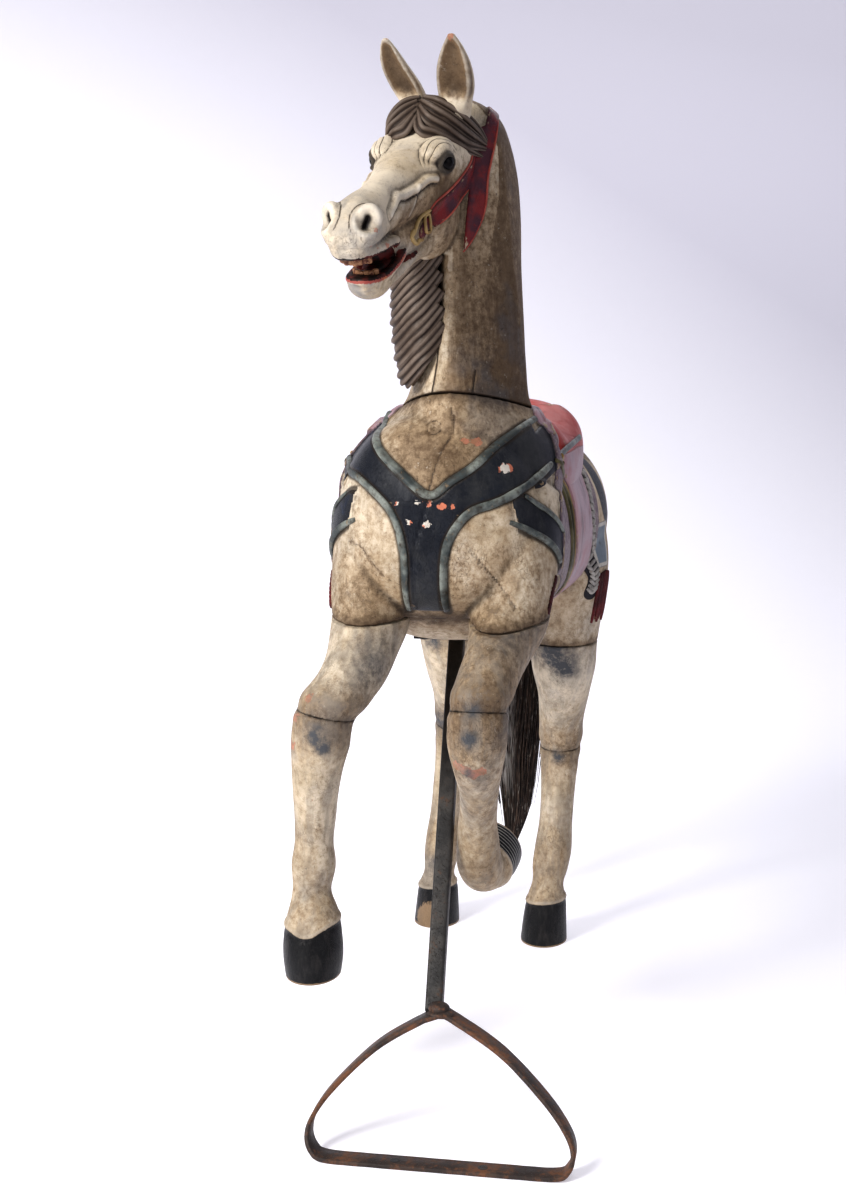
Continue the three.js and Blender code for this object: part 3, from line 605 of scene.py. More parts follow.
saddle = {
    "seat": [
        [13, 262, 880, 118, 44, 60], [14, 246, 885, 140, 84, 60], [15, 205, 885, 144, 94, 60],
        [14, 178, 885, 146, 80, 60], [12, 130, 885, 148, 58, 60], [10, 60, 885, 148, 62, 60],
        [8, 5, 890, 138, 84, 60], [6, -28, 895, 110, 80, 60],
    ],
    "flap": [
        [-150, 940], [-60, 905], [25, 860], [30, 800], [45, 760], [95, 700], [130, 655], [170, 630],
        [225, 640], [240, 690], [205, 740], [190, 800], [195, 850], [215, 905], [215, 985], [-140, 985],
    ],
    "cloth": [
        [-150, 950], [-185, 860], [-190, 800], [-185, 750], [-120, 735], [-50, 710], [30, 670], [200, 650],
        [260, 740], [260, 880], [240, 960], [-100, 985],
    ],
    "gold": [[-140, 915], [-50, 890], [15, 850], [20, 800], [30, 760], [75, 710], [110, 675]],
    "olive": [[-170, 910], [-95, 880], [-40, 860], [-30, 820], [-25, 785], [10, 735], [85, 690]],
    "braid": [[250, 905], [230, 850], [215, 810], [220, 760], [260, 715], [285, 680], [285, 650]],
    "panel": [[255, 770], [330, 770], [340, 690], [290, 690]],
    "rearStrap": [[280, 885], [320, 870], [350, 800], [345, 765], [310, 775], [290, 820]],
    "fringe": [[-220, 750], [-240, 730], [-255, 710]],
}


def distanceTo(plane, co):
    at, normal = plane
    return (co - np.array(at, float)) @ unit(normal)


def spotsAt(co, spots):  # round spots, each with its place, radius and strength
    return sum(k * np.exp(-np.sum((co - np.array(c))**2, 1) / (2 * r * r)) for c, r, k in spots)


def cracksOn(co, lines, axes, width=1.6):
    dark = np.zeros(len(co))
    for line in lines:
        d = lineDist(smoothLine(line), co[:, axes])
        dark = np.maximum(dark, 1 - ease(width * 0.5, width * 2.2, d))
    return dark


legMeshes = {}
sockets = []
for name, limb in limbs.items():
    whole = fuse(name + "_carved", [carve(limb["rows"], sides=44, steps=6)], 2.9, 4)
    top = copyOf(whole, name + "_socket")
    at, normal = limb["top"]
    cutBack(top, np.array(at) - jointSetBack * unit(normal), normal)
    sockets.append(shapeOf(top))
    drop(top)
    legMeshes[name] = whole
print("legs carved")

neckWhole = carve(trunk["neck"], sides=56, steps=6, along=(0, 0, -1), yaw=True)
neckLow = newObject("neckLow", neckWhole)
at, normal = trunk["neckJoint"]
cutBack(neckLow, np.array(at) - jointSetBack * unit(normal), normal)
barrelShape = carve(trunk["barrel"], sides=72, steps=6, along=(0, -1, 0), power=2.3)
seatShape = carve(saddle["seat"], sides=56, steps=6, along=(0, -1, 0), power=3)
body = fuse("trunk_carving", [barrelShape, shapeOf(neckLow), seatShape] + sockets, trunk["voxel"], 7)
drop(neckLow)

co, no = points(body), normals(body)
front = (co[:, 1] < -195) & (no[:, 1] < 0.25)
xz, yz = co[:, [0, 2]], co[:, [1, 2]]
veeLine, rightLine, leftLine = (smoothLine(harness[k]) for k in ("vee", "right", "left"))
inFront = np.where(front, inside(np.vstack([rightLine, leftLine, veeLine[::-1]]), xz), outOfReach)
sideways = np.abs(no[:, 0]) > 0.35
sideLine, shoulderLine = smoothLine(harness["side"]), smoothLine(harness["shoulder"])
inSide = np.where((co[:, 1] > -285) & (co[:, 1] < -184) & (co[:, 2] < 880) & sideways,
                  23 - lineDist(sideLine, yz), outOfReach)
inShoulder = np.where((co[:, 1] > -240) & (co[:, 1] < -60) & (co[:, 2] > 860),
                      31 - lineDist(shoulderLine, yz), outOfReach)
collar = np.maximum.reduce([inFront, inSide, inShoulder])
middleBand = (co[:, 1] > -200) & (co[:, 1] < 300)
flap = np.where(middleBand & (co[:, 2] > 640), inside(smoothLine(saddle["flap"] + saddle["flap"][:1]), yz),
                outOfReach)
cloth = np.where(middleBand & (co[:, 2] > 645), inside(smoothLine(saddle["cloth"] + saddle["cloth"][:1]), yz),
                 outOfReach)
seatTop = np.where(middleBand, np.minimum(co[:, 2] - 905, np.minimum(co[:, 1] + 40, 270 - co[:, 1])),
                   outOfReach)
lift = 3.5 * ease(-1, 3, collar) + 4 * ease(-1, 3, cloth) + 5 * ease(-1, 3, flap)
co += no * lift[:, None]
setPoints(body, co)
print("trunk carved")

co, no = points(body), normals(body)
hollow = np.clip(cavity(body, 9), -3, 3)
store(body, "collar", collar)
rimDist = np.where(front, np.minimum.reduce([lineDist(l, xz) for l in (veeLine, rightLine, leftLine)]), 60)
rimDist = np.minimum(rimDist, np.where((inSide > -12) & (inFront < 4), np.abs(inSide) + 2, 60))
store(body, "rim", rimDist)
fleckAt = [(-45, 859, 5), (-18, 862, 5), (1, 861, 7), (18, 856, 5), (33, 856, 5), (-28, 833, 5), (-4, 830, 7),
           (101, 906, 8)]
store(body, "flecks",
      np.where(front,
               sum(np.exp(-((co[:, 0] - a)**2 + (co[:, 2] - b)**2) / (2 * q * q)) for a, b, q in fleckAt), 0))
store(body, "flap", flap)
store(body, "cloth", cloth)
store(body, "seat", seatTop)
onSide = (sideways & (co[:, 1] > -100))
braidDist = np.where(onSide, lineDist(smoothLine(saddle["braid"]), yz), 60)
store(body, "braid", braidDist)
store(body, "panel", np.where(onSide, inside(np.array(saddle["panel"], float), yz), outOfReach))
store(body, "rearStrap",
      np.where(onSide, inside(smoothLine(saddle["rearStrap"] + saddle["rearStrap"][:1]), yz), outOfReach))
ragged = 0.6 + 0.4 * np.sin(co[:, 0] * 0.11 + 1.3) * np.sin(co[:, 1] * 0.07 + co[:, 0] * 0.05)
jointDark = (1 - ease(0.2, 2.4, np.abs(distanceTo(trunk["neckJoint"], co)))) * ragged
nearJoint = np.exp(-(distanceTo(trunk["neckJoint"], co) / 14)**2)
for limb in limbs.values():
    near = np.linalg.norm(co - np.array(limb["top"][0]), axis=1) < 130
    jointDark = np.maximum(jointDark,
                           np.where(near, (1 - ease(0.1, 1.8, np.abs(distanceTo(limb["top"], co)))) * ragged,
                                    0))
    # painted shade on the trunk's downward faces just above each leg's joint, stored with the dark joint
    # lines
    lipUnderShade = ease(0.25, 0.6, -no[:, 2]) * np.exp(-(distanceTo(limb["top"], co) / 9)**2) * 0.3
    jointDark = np.maximum(jointDark, np.where(near, lipUnderShade, 0))
    nearJoint = np.maximum(nearJoint, np.where(near, np.exp(-(distanceTo(limb["top"], co) / 13)**2), 0))
chestCracks = [
    [[25, 990], [30, 960], [15, 930], [5, 900], [0, 875]],
    [[0, 865], [-10, 830], [-20, 790], [-20, 740], [-25, 705]],
    [[-120, 800], [-100, 795], [-80, 770], [-65, 755]], [[60, 795], [85, 760], [105, 735], [120, 715]],
]
dark = np.where(front, cracksOn(co, chestCracks, [0, 2], 2.0), 0) * 0.72
knotAt = (2, 962)  # a knot in the plank, in the hollow of the throat
knot = np.hypot((co[:, 0] - knotAt[0]) / 1.2, co[:, 2] - knotAt[1])
dark = np.maximum(dark,
                  np.where(front, np.exp(-((knot - 9) / 2.0)**2) * 0.75 + np.exp(-(knot / 3.5)**2) * 0.7, 0))
store(body, "hollow", np.where(nearJoint > 0.15, np.minimum(hollow, 0) - nearJoint * 0.6, hollow))
store(body, "split", np.maximum(jointDark * 0.9, dark))
# Stains and painted shade on the trunk: stains darker under the throat, on the breast, along the flanks and
# at the joints, and painted shade deepening toward the belly
throat = np.exp(-((co[:, 0] - 8) / 110)**2 - ((co[:, 2] - 925) / 80)**2) * (co[:, 1] < -120)
breast = np.exp(-((np.abs(co[:, 0]) - 95) / 55)**2 - ((co[:, 2] - 780) / 70)**2) * (co[:, 1] < -200)
flank = np.exp(-((co[:, 2] - 720) / 80)**2) * 0.45
under = ease(860, 700, co[:, 2]) * 0.15
store(body, "soil",
      np.clip(throat * 0.62 + breast * 0.15 + flank * 0.35 + under + 0.08 + nearJoint * 0.4, 0, 1))
throatSpots = [((65, -285, 945), 7, 1.2), ((45, -290, 945), 5, 0.9), ((-120, -260, 770), 24, 0.42),
               ((70, -290, 750), 14, 0.55),
               ((110, -250, 905), 10, 0.9)]
store(body, "chips", spotsAt(co, throatSpots))

# raised borders of the collar, the saddle piping and braid, laid on the carved surface
tree = surfaceTree(body)
at3 = lambda line: [(x, -480, z) for x, z in line]
collarRims = [bead(tree, at3(l), (0, 1, 0), 7.0, 4.0, 0.3)
              for l in (veeLine[4:], rightLine[4:], leftLine[:-4])]
side3 = lambda line, s: [(s * 420, y, z) for y, z in line]


def offsetLine(line, by):
    line = np.array(line, float)
    run = np.gradient(line, axis=0)
    run /= np.linalg.norm(run, axis=1)[:, None]
    return line + np.stack([-run[:, 1], run[:, 0]], 1) * by


sideRims = [bead(tree, side3(offsetLine(sideLine[sideLine[:, 0] < -186], o), s), (-s, 0, 0), 5, 3.5, 0.5)
            for s in (1, -1) for o in (-21, 21)]
rims = newObject("collar_borders", merged([r for r in collarRims + sideRims if r]))
gold, piping, threads, plaits = [], [], [], []
for s in (1, -1):
    gold.append(bead(tree, side3(smoothLine(saddle["gold"]), s), (-s, 0, 0), 5, 4, 0.5))
    piping.append(bead(tree, side3(smoothLine(saddle["olive"]), s), (-s, 0, 0), 5, 4, 0.5))
    piping.append(bead(tree, side3(offsetLine(smoothLine(saddle["gold"]), -11), s), (-s, 0, 0), 4, 3.5, 0.5))
    for k in range(9):
        y = 298 + k * 5.6
        hang = [[y, 684 - abs(k - 4)], [y + math.sin(k * 2.1) * 2, 640],
                [y + math.sin(k * 1.3) * 4, 594 + k % 3 * 5]]
        threads.append(bead(tree, side3(smoothLine(hang), s), (-s, 0, 0), 3.0, 3.4, 1))
    for y, z in smoothLine(saddle["fringe"])[::2]:
        threads.append(bead(tree, side3([[y, z], [y + 1, z - 6], [y + 4, z - 11]], s), (-s, 0, 0), 2.6, 3.0,
                            0.6, step=3))
    for k, (y, z) in enumerate(smoothLine(saddle["braid"])[1:-1:2]):
        for way in (-1, 1):
            plaits.append(bead(tree, side3([[y + way * 11, z + 5], [y + way * 5, z + 1], [y, z - 5]], s),
                               (-s, 0, 0), 3.6, 3.0, 0.6, step=3))
pipes = newObject("saddle_piping", merged([r for r in piping if r]))
goldTrim = newObject("saddle_gold", merged([r for r in gold if r]))
redThreads = newObject("saddle_tassels", merged([r for r in threads if r]))
braids = newObject("saddle_braid", merged([r for r in plaits if r]))
print("harness laid on")


def seatMaterial():
    material, at = startMaterial("paintedHorse")
    tone, rough, height, fine = agedCream(at)
    base = (tone, rough, height)
    wide = noise(at, 12.0, 5.0, 0.65)
    navy = mixTone(paint["navy"], (0.05, 0.05, 0.05), (wide.step(0.45, 0.7) * 0.6 + (fine - 0.5)).clamped())
    navy = mixTone(navy, (0.018, 0.035, 0.085), noise(at, 16.0, 4.0).step(0.6, 0.72) * 0.6)
    flecks = (attribute(at, "flecks") + (noise(at, 70.0, 4.0, 0.7) - 0.5) * 2.2).step(0.72, 0.78)
    navy = mixTone(navy, mixTone((0.62, 0.57, 0.5), (0.5, 0.17, 0.1), noise(at, 42.0, 2.0).step(0.48, 0.52)),
                   flecks)
    base = overPaint(at, base, attribute(at, "collar"), navy, 0.4, fine, 0.0)
    outline = (1 - attribute(at, "rim").step(6.0, 10.5)) * 0.85
    base = (mixTone(base[0], paint["dirt"], outline), base[1], base[2] - outline * 0.5)
    weave = cells(at, 95.0, stretch=(1, 1, 0.5), warp=0.3).step(0.02, 0.14)
    clothTone = mixTone((0.05, 0.03, 0.04),
                        mixTone((0.2, 0.14, 0.17), (0.34, 0.27, 0.27), noise(at, 60.0).step(0.42, 0.6)),
                        weave)
    base = overPaint(at, base, attribute(at, "cloth"), clothTone, 0.5, fine, 0.1)
    base = overPaint(at, base, attribute(at, "rearStrap"), navy, 0.4, fine, 0.02)
    panel = attribute(at, "panel")
    panelTone = mixTone((0.5, 0.47, 0.42), (0.16, 0.19, 0.22), panel.step(7.0, 9.0))
    base = overPaint(at, base, panel,
                     mixTone(panelTone, paint["dirt"], (fine.step(0.5, 0.7) * 0.6).clamped()), 0.5, fine,
                     0.04)
    drips = noise(at, 26.0, 5.0, 0.7, stretch=(1, 1, 0.25))
    flapTone = mixTone((0.36, 0.19, 0.20), (0.40, 0.31, 0.35),
                       (wide.step(0.36, 0.56) * 0.8 + (drips - 0.5)).clamped())
    flapTone = mixTone(flapTone, (0.13, 0.09, 0.10), (drips.step(0.52, 0.72) * 0.75).clamped())
    base = overPaint(at, base, attribute(at, "flap"), flapTone, 0.45, fine, 0.08)
    seatTone = mixTone((0.40, 0.055, 0.045), (0.47, 0.15, 0.14), wide.step(0.42, 0.66))
    seatTone = mixTone(seatTone, (0.12, 0.05, 0.05), (drips.step(0.56, 0.74) * 0.7).clamped())
    base = overPaint(at, base, attribute(at, "seat"), seatTone, 0.42, fine, 0.05)
    band = attribute(at, "braid")
    base = overPaint(at, base, 14 - band, (0.022, 0.02, 0.024), 0.5, fine, 0.0)
    return finishMaterial(material, at, base[0], base[1], base[2], 0.7, 0.0022)


def trimMaterial(name, low, high, dirt=0.5, rough=0.45):
    material, at = startMaterial(name)
    fine = noise(at, 80.0, 5.0, 0.7)
    wide = noise(at, 18.0, 4.0)
    tone = mixTone(low, high, (wide.step(0.4, 0.62) * 0.8 + (fine - 0.5)).clamped())
    tone = mixTone(tone, paint["dirt"], ((fine - 0.45) * 2.6 * dirt).clamped())
    worn = noise(at, 130.0, 4.0, 0.7).step(0.6, 0.7)
    tone = mixTone(tone, paint["ochre"], worn * 0.5)
    return finishMaterial(material, at, tone, rough + (fine - 0.5) * 0.3, fine + worn * -0.4, 0.6, 0.0015)


body.data.materials.append(seatMaterial())
rims.data.materials.append(trimMaterial("verdigrisBorder", (0.045, 0.055, 0.055), (0.26, 0.28, 0.25), 1.5))
pipes.data.materials.append(trimMaterial("olivePiping", (0.045, 0.042, 0.02), (0.13, 0.11, 0.05), 0.8))
goldTrim.data.materials.append(trimMaterial("goldPiping", (0.17, 0.10, 0.03), (0.36, 0.24, 0.09), 0.8))
redThreads.data.materials.append(trimMaterial("redThread", (0.05, 0.008, 0.010), (0.15, 0.018, 0.02), 0.9))
braids.data.materials.append(trimMaterial("whiteBraid", (0.30, 0.28, 0.26), (0.55, 0.52, 0.47), 0.9))
for piece in (body, rims, pipes, goldTrim, redThreads, braids):
    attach(piece, "root")
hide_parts("trunk")


def legMaterial():
    material, at = startMaterial("paintedLeg")
    tone, rough, height, fine = agedCream(at)
    hoof = attribute(at, "hoof")
    smudge = attribute(at, "smudge")
    grain = noise(at, 60.0, 4.0, 0.6, stretch=(1, 1, 0.12)).step(0.42, 0.64)
    tone = mixTone(tone, (0.25, 0.215, 0.175), grain * 0.5)
    # dark grey marks round the joints and painted shade on the thighs' sides
    tone = mixTone(tone, (0.075, 0.078, 0.085),
                   (smudge * 0.9 + smudge * (fine - 0.5) * 2.5 + smudge * (noise(at, 30.0, 4.0) - 0.5)
                    * 1.5).clamped())
    black = mixTone((0.008, 0.008, 0.009), (0.034, 0.031, 0.03),
                    (noise(at, 60.0, 5.0, 0.7, stretch=(1, 1, 0.3)).step(0.45, 0.7) * 0.8).clamped())
    black = mixTone(black, (0.26, 0.18, 0.11), (attribute(at, "toe") + (fine - 0.5) * 1.2).step(0.5, 0.7))
    on = (hoof + (fine - 0.5) * 3.0).step(-0.6, 0.6)
    ridges = attribute(at, "hoof") * 1.15 + (fine - 0.5) * 3
    rings = ridges.math("SINE").step(0.55, 0.95) * attribute(at, "ringed")
    tone = mixTone(tone, mixTone(black, (0.3, 0.29, 0.27), rings), on)
    return finishMaterial(material, at, tone, rough * (1 - on) + 0.4 * on, height + on * 0.3, 0.7, 0.0022)


legPaint = legMaterial()
kneeSpots = {  # sideways from the leg's centre line, height, radius and strength of each chip
    "right_foreleg": [
        (-40, 560, 9, 0.8), (-35, 520, 8, 0.8), (-35, 590, 7, 0.9), (-40, 700, 7, 0.7), (0, 440, 7, 0.6),
    ],
    "left_foreleg": [(-25, 510, 8, 0.8), (-10, 505, 7, 0.8), (10, 505, 8, 0.85), (0, 495, 6, 0.7)],
    "left_hindleg": [(5, 350, 20, 0.35)],
    "right_hindleg": [(0, 380, 26, 0.3)],
}
kneeSmudgesAndShade = {  # the same for the dark grey marks round the joints, and for painted shade on the thighs' sides turned from the light
    "right_foreleg": [(0, 540, 12, 1.0), (15, 520, 8, 1.0), (25, 650, 22, 0.55), (30, 615, 18, 0.4)],
    "left_foreleg": [(-5, 550, 9, 1.2), (-5, 590, 9, 1.0), (-5, 500, 8, 0.9), (25, 690, 26, 0.5)],
    "left_hindleg": [(-10, 540, 24, 1.1), (10, 510, 15, 0.8), (0, 340, 9, 1.1), (-20, 560, 16, 0.7)],
    "right_hindleg": [(-20, 550, 12, 1.0), (-15, 390, 16, 0.9), (-5, 120, 14, 0.6)],
}


def marksOn(co, no, rows, marks):
    rows = np.array(sorted(rows, key=lambda row: row[2]))
    across = co[:, 0] - np.interp(co[:, 2], rows[:, 2], rows[:, 0])
    marked = sum(k * np.exp(-((across - x)**2 + (co[:, 2] - z)**2) / (2 * r * r)) for x, z, r, k in marks)
    return marked * ease(-0.3, 0.1, -no[:, 1])


for name, limb in limbs.items():
    whole = legMeshes[name]
    co, no = points(whole), normals(whole)
    at, normal = limb["middle"]
    up = distanceTo(limb["middle"], co)
    sole = -distanceTo(limb["sole"], co)
    round0 = np.arctan2(co[:, 1] - limb["rows"][-2][1], co[:, 0] - limb["rows"][-2][0])
    dip = 9 * np.exp(-((round0 + math.pi / 2) / 0.55)**2) if "fore" in name else 0
    hoofTop = limb["hoof"] + 4 * np.cos(round0) - dip + 2
    hoof = np.where(np.linalg.norm(co - np.array(limb["rows"][-1][:3]), axis=1) < 135, hoofTop - sole,
                    outOfReach)
    wrinkle = np.exp(-(up / 34)**2) * np.sin(up / 5.2) * 0.7
    band = np.exp(-((sole - hoofTop - 3) / 5)**2) * 2.2 - np.exp(-((sole - hoofTop + 3) / 3)**2) * 0.8
    wall = np.where(hoof > 2, np.sin(sole / 3.0) * 0.05, 0)
    swell = 5.0 * np.exp(-((up + 26) / 20)**2) * np.clip(-no[:, 1], 0, 1) - 2.2 * np.exp(-(up / 9)**2)
    co += no * (wrinkle + np.where(hoof > -50, band, 0) + wall
                + np.where(name.endswith("foreleg"), swell, -1.5 * np.exp(-(up / 7)**2)))[:, None]
    setPoints(whole, co)
    store(whole, "hollow", np.clip(cavity(whole, 8), -3, 3))
    store(whole, "hoof", hoof)
    store(whole, "ringed", np.full(len(co), 1.0 if name == "left_foreleg" else 0.0))
    toeSpot = np.exp(-np.sum((co - np.array([-120, 380, 15]))**2, 1) / 1000)
    bareToe = 1.5 * toeSpot if name == "right_hindleg" else 0
    store(whole, "toe", ease(4.5, 1, sole) + bareToe)
    dark = np.maximum(1 - ease(0.2, 2.6, np.abs(up)),
                      0.7 - 0.7 * ease(0.1, 1.6, np.abs(distanceTo(limb["top"], co))))
    if name == "left_foreleg":
        dark = np.maximum(dark,
                          0.75 * np.exp(-(np.hypot(co[:, 0] - 80, (co[:, 2] - 560) / 1.5) / 8)**2)
                          * (co[:, 1] < -370))
    store(whole, "split", dark)
    knee = np.exp(-(up / 60)**2)
    store(whole, "soil",
          np.clip(0.06 + knee * 0.42 + 0.15 * np.exp(-(distanceTo(limb["top"], co) / 40)**2) + 0.28
                  * ease(290, 150, sole), 0, 1))
    store(whole, "chips", marksOn(co, no, limb["rows"], kneeSpots[name]))
    store(whole, "smudge", marksOn(co, no, limb["rows"], kneeSmudgesAndShade[name]))
    topAt, topWay = limb["top"]
    upper = cutBack(copyOf(whole, name + "_upper_carving"), np.array(at) - jointSetBack * unit(normal),
                    normal)
    cutBack(upper, np.array(topAt) + jointSetBack * unit(topWay), -unit(topWay))
    lower = cutBack(copyOf(whole, name + "_lower_carving"), np.array(at) + jointSetBack * unit(normal),
                    -unit(normal))
    cutBack(lower, *limb["sole"])
    drop(whole)
    for piece, part in ((upper, "_upper"), (lower, "_lower")):
        piece.data.materials.append(legPaint)
        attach(piece, "root")
        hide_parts(name + part)
print("legs finished")

head = {
    "scale": 1.03, "at": (-23, -320, 1321), "yaw": 16, "pitch": 20.5, "roll": -4.6, "voxel": 2.3,
    "skull": [
        [-118, 0, -8, 26, 30, 40], [-100, 0, -5, 44, 52, 60], [-72, 0, -8, 53, 62, 80],
        [-40, 0, -10, 55, 52, 80], [-10, 0, -12, 54, 43, 76], [22, 0, -16, 49, 41, 66, 0.1],
        [55, 0, -22, 41, 41, 48, 0.2], [90, 0, -28, 34, 38, 40, 0.2], [125, 0, -31, 31, 36, 34, 0.1],
        [155, 0, -33, 35, 38, 30, 0.1], [182, 0, -34, 37, 34, 31], [202, 0, -38, 31, 24, 27],
        [213, 0, -42, 15, 12, 14],
    ],
    "jaw": [
        [-30, 0, -96, 34, 30, 34], [20, 0, -100, 32, 20, 26], [60, 0, -103, 29, 10, 20],
        [95, 0, -108, 27, 8, 18], [128, 0, -112, 25, 12, 19], [152, 0, -113, 25, 17, 21],
        [170, 0, -110, 22, 16, 18], [181, 0, -106, 12, 9, 9],
    ],
    "ears": [
        [[-76, 36, 30, 16, 15, 15], [-71, 37, 54, 21, 17, 17], [-69, 39, 80, 26, 17, 17],
         [-66, 40, 106, 24, 14, 14],
         [-63, 41, 130, 15, 9, 9], [-61, 41, 148, 4, 4, 4]],
        [[-76, -16, 28, 14, 14, 14], [-71, -22, 54, 19, 16, 16], [-69, -34, 80, 22, 15, 15],
         [-66, -45, 104, 19, 12, 12],
         [-63, -51, 126, 12, 8, 8], [-60, -53, 141, 4, 4, 4]],
    ],
    "cheekBone": [[28, -14], [42, -11], [63, -15], [90, -17], [104, -15], [120, -22], [138, -28]],
    "cheekBranch": [[63, -14], [76, -28], [88, -44]],
    # the bridle on one side, laid on from ahead and beside along `lay` on to the plane of the cheek
    "lay": (0.866, 0.422, 0.2), "cheekPlane": 50,
    "bridle": [
        [-188, 44], [-172, 9], [-158, -14], [-136, -40], [-124, -56], [-114, -84], [-96, -104],
        [-60, -122], [-30, -130], [-34, -116], [-46, -88], [-62, -56], [-40, -60], [-2, -69], [36, -73],
        [52, -74], [60, -68], [63, -60], [60, -47], [40, -41], [1, -38], [-41, -31], [-76, -20], [-86, -4],
        [-96, 16], [-128, 13], [-140, 29], [-154, 50],
    ],
    "upperLip": [
        [100, 16, -74], [116, 24, -68], [138, 27, -63], [165, 29, -60], [187, 25, -59], [203, 11, -60],
        [206, 0, -60],
    ],
    "lowerLip": [
        [80, 20, -80], [104, 25, -91], [128, 23, -100], [152, 22, -103], [170, 17, -102], [180, 7, -101],
        [182, 0, -101],
    ],
    "bitStrap": [[62, -61], [80, -63], [94, -68]],
}


def headFrame():
    yaw, pitch, roll = (math.radians(head[k]) for k in ("yaw", "pitch", "roll"))
    ahead = np.array([-math.sin(yaw), -math.cos(yaw), 0])
    left = np.array([math.cos(yaw), -math.sin(yaw), 0])
    up = np.array([0, 0, 1.0])
    nose = ahead * math.cos(pitch) - up * math.sin(pitch)
    crown = up * math.cos(pitch) + ahead * math.sin(pitch)
    y = left * math.cos(roll) + crown * math.sin(roll)
    z = crown * math.cos(roll) - left * math.sin(roll)
    return np.stack([nose, y, z], 1) * head["scale"]


turnHead = headFrame()
headAt = np.array(head["at"], float)
posed = lambda shape: (shape[0] @ turnHead.T + headAt, shape[1])
toHead = lambda co: (co - headAt) @ np.linalg.inv(turnHead).T
toHeadWay = lambda no: no @ (turnHead / head["scale"])
fromHeadWay = lambda no: no @ (turnHead / head["scale"]).T
ahead = {"along": (1, 0, 0), "across": (0, 1, 0)}


def earShape(rows):
    verts, faces = carve(rows, sides=40, steps=7, across=(0, 1, 0), along=(0, 0, 1))
    st = blendRows(rows, 7)
    for i in range(len(st)):
        ring = verts[i * 40:(i + 1) * 40]
        t = i / (len(st) - 1)
        across = (ring[:, 1] - st[i, 1]) / max(st[i, 3], 1)
        scoop = ease(0.16, 0.4, t) * (1 - ease(0.8, 0.98, t)) * st[i, 5] * 0.92
        ring[:, 0] -= np.where(ring[:, 0] > st[i, 0], scoop * np.clip(1 - (across / 0.8)**2, 0, 1), 0)
    return verts, faces


def almond(side, radius, wide, tall, tilt):
    out = []
    for t in np.linspace(0, 2 * math.pi, 40, endpoint=False):
        a = math.cos(t) * wide
        b = math.sin(t) * tall * (1 - 0.25 * abs(math.cos(t)))
        a, b = a * math.cos(tilt) - b * math.sin(tilt), a * math.sin(tilt) + b * math.cos(tilt)
        a += 0.38
        out.append([2 + radius * math.sin(a), side * (46 + radius * math.cos(a) * math.cos(b)),
                    radius * math.sin(b)])
    return np.array(out)


lids = [tube(almond(s, 13.6, 1.02, 0.92, -0.12), 3.2, 3.4, closed=True, sides=10,
             normals=[np.array([0.37, s * 0.93, 0.01])] * 40) for s in (1, -1)]
headParts = [carve(head["skull"], sides=56, steps=6, **ahead), carve(head["jaw"], sides=40, steps=6, **ahead),
             ball(50, 0, -76, 74, 34, 32)]
headParts += [ball(-18, s * 6, -72, 58, 42, 66) for s in (1, -1)]  # cheeks
headParts += [ball(-4, s * 33, 13, 32, 22, 17) for s in (1, -1)]  # brows
for row, thick in ((head["upperLip"], 6.8), (head["lowerLip"], 6.2)):
    for s in (1, -1):
        headParts.append(tube(blendRows([[x, y * s, z] for x, y, z in row], 5), thick, thick, sides=14,
                              taper=0.2))
headParts += [ball(184, s * 25, -17, 19, 14, 15) for s in (1, -1)]  # nostrils
headParts += [earShape(r) for r in head["ears"]] + lids
neckHigh = newObject("neckHigh", neckWhole)
at, normal = trunk["neckJoint"]
cutBack(neckHigh, np.array(at) + jointSetBack * unit(normal), -unit(normal))
skull = fuse("head_carving", [posed(p) for p in headParts] + [shapeOf(neckHigh)], head["voxel"], 4)
drop(neckHigh)

co, no = points(skull), normals(skull)
h, hn = toHead(co), toHeadWay(no)
x, y, z = h.T
onHead = (x > -125) & (z > -150) & (np.abs(y) < 75) & (co[:, 1] < -215)
outer = np.abs(hn[:, 1])
flat = h[:, [0, 2]]


def layOn(h):  # where each point comes to on the plane of the cheek, mirrored for the right side
    way = np.array(head["lay"])
    reach = (head["cheekPlane"] - np.abs(h[:, 1])) / way[1]
    return np.stack([h[:, 0] + reach * way[0], h[:, 2] + reach * way[2]], 1)


laid = layOn(h)
layX, layY, layZ = head["lay"]
seen = hn @ np.array([layX, 0, layZ]) + np.abs(hn[:, 1]) * layY > 0.02
strap = np.where((np.abs(y) > 12) & (co[:, 2] > 1130) & seen, inside(head["bridle"], laid), outOfReach)
bit = 9 - lineDist(head["bitStrap"], laid)
strap = np.maximum(strap, np.where((np.abs(y) > 20) & onHead, bit, outOfReach))
r = np.linalg.norm(h - np.stack([0 * x + 6, np.sign(y) * 49, 0 * x + 1], 1), axis=1)
overEye = np.where(onHead & (outer > 0.2), 1, 0) * ease(2, 9, z) * ease(43, 38, r) * ease(20, 23, r)
brow = overEye * -1.3 * (0.5 + 0.5 * np.cos((r - 25) * 2 * math.pi / 6.0))
side = np.where(onHead & (outer > 0.3), 1.0, 0.0)
ridge = side * (3.4 * np.exp(-(lineDist(smoothLine(head["cheekBone"]), flat) / 4.6)**2) + 2.8
                * np.exp(-(lineDist(smoothLine(head["cheekBranch"]), flat) / 3.5)**2))
ridge -= side * 2.2 * np.exp(-((lineDist(smoothLine(head["cheekBone"]), flat) - 8) / 3.5)**2)
nostrilAt = np.array([[195, 29, -16], [195, -29, -16]])
nostril = np.min([np.linalg.norm((h - n) * np.array([0.8, 1, 0.85]), axis=1) for n in nostrilAt], axis=0)
ring = 3.0 * np.exp(-((nostril - 16.0) / 3.8)**2)
hole = ease(13.5, 7.5, nostril)
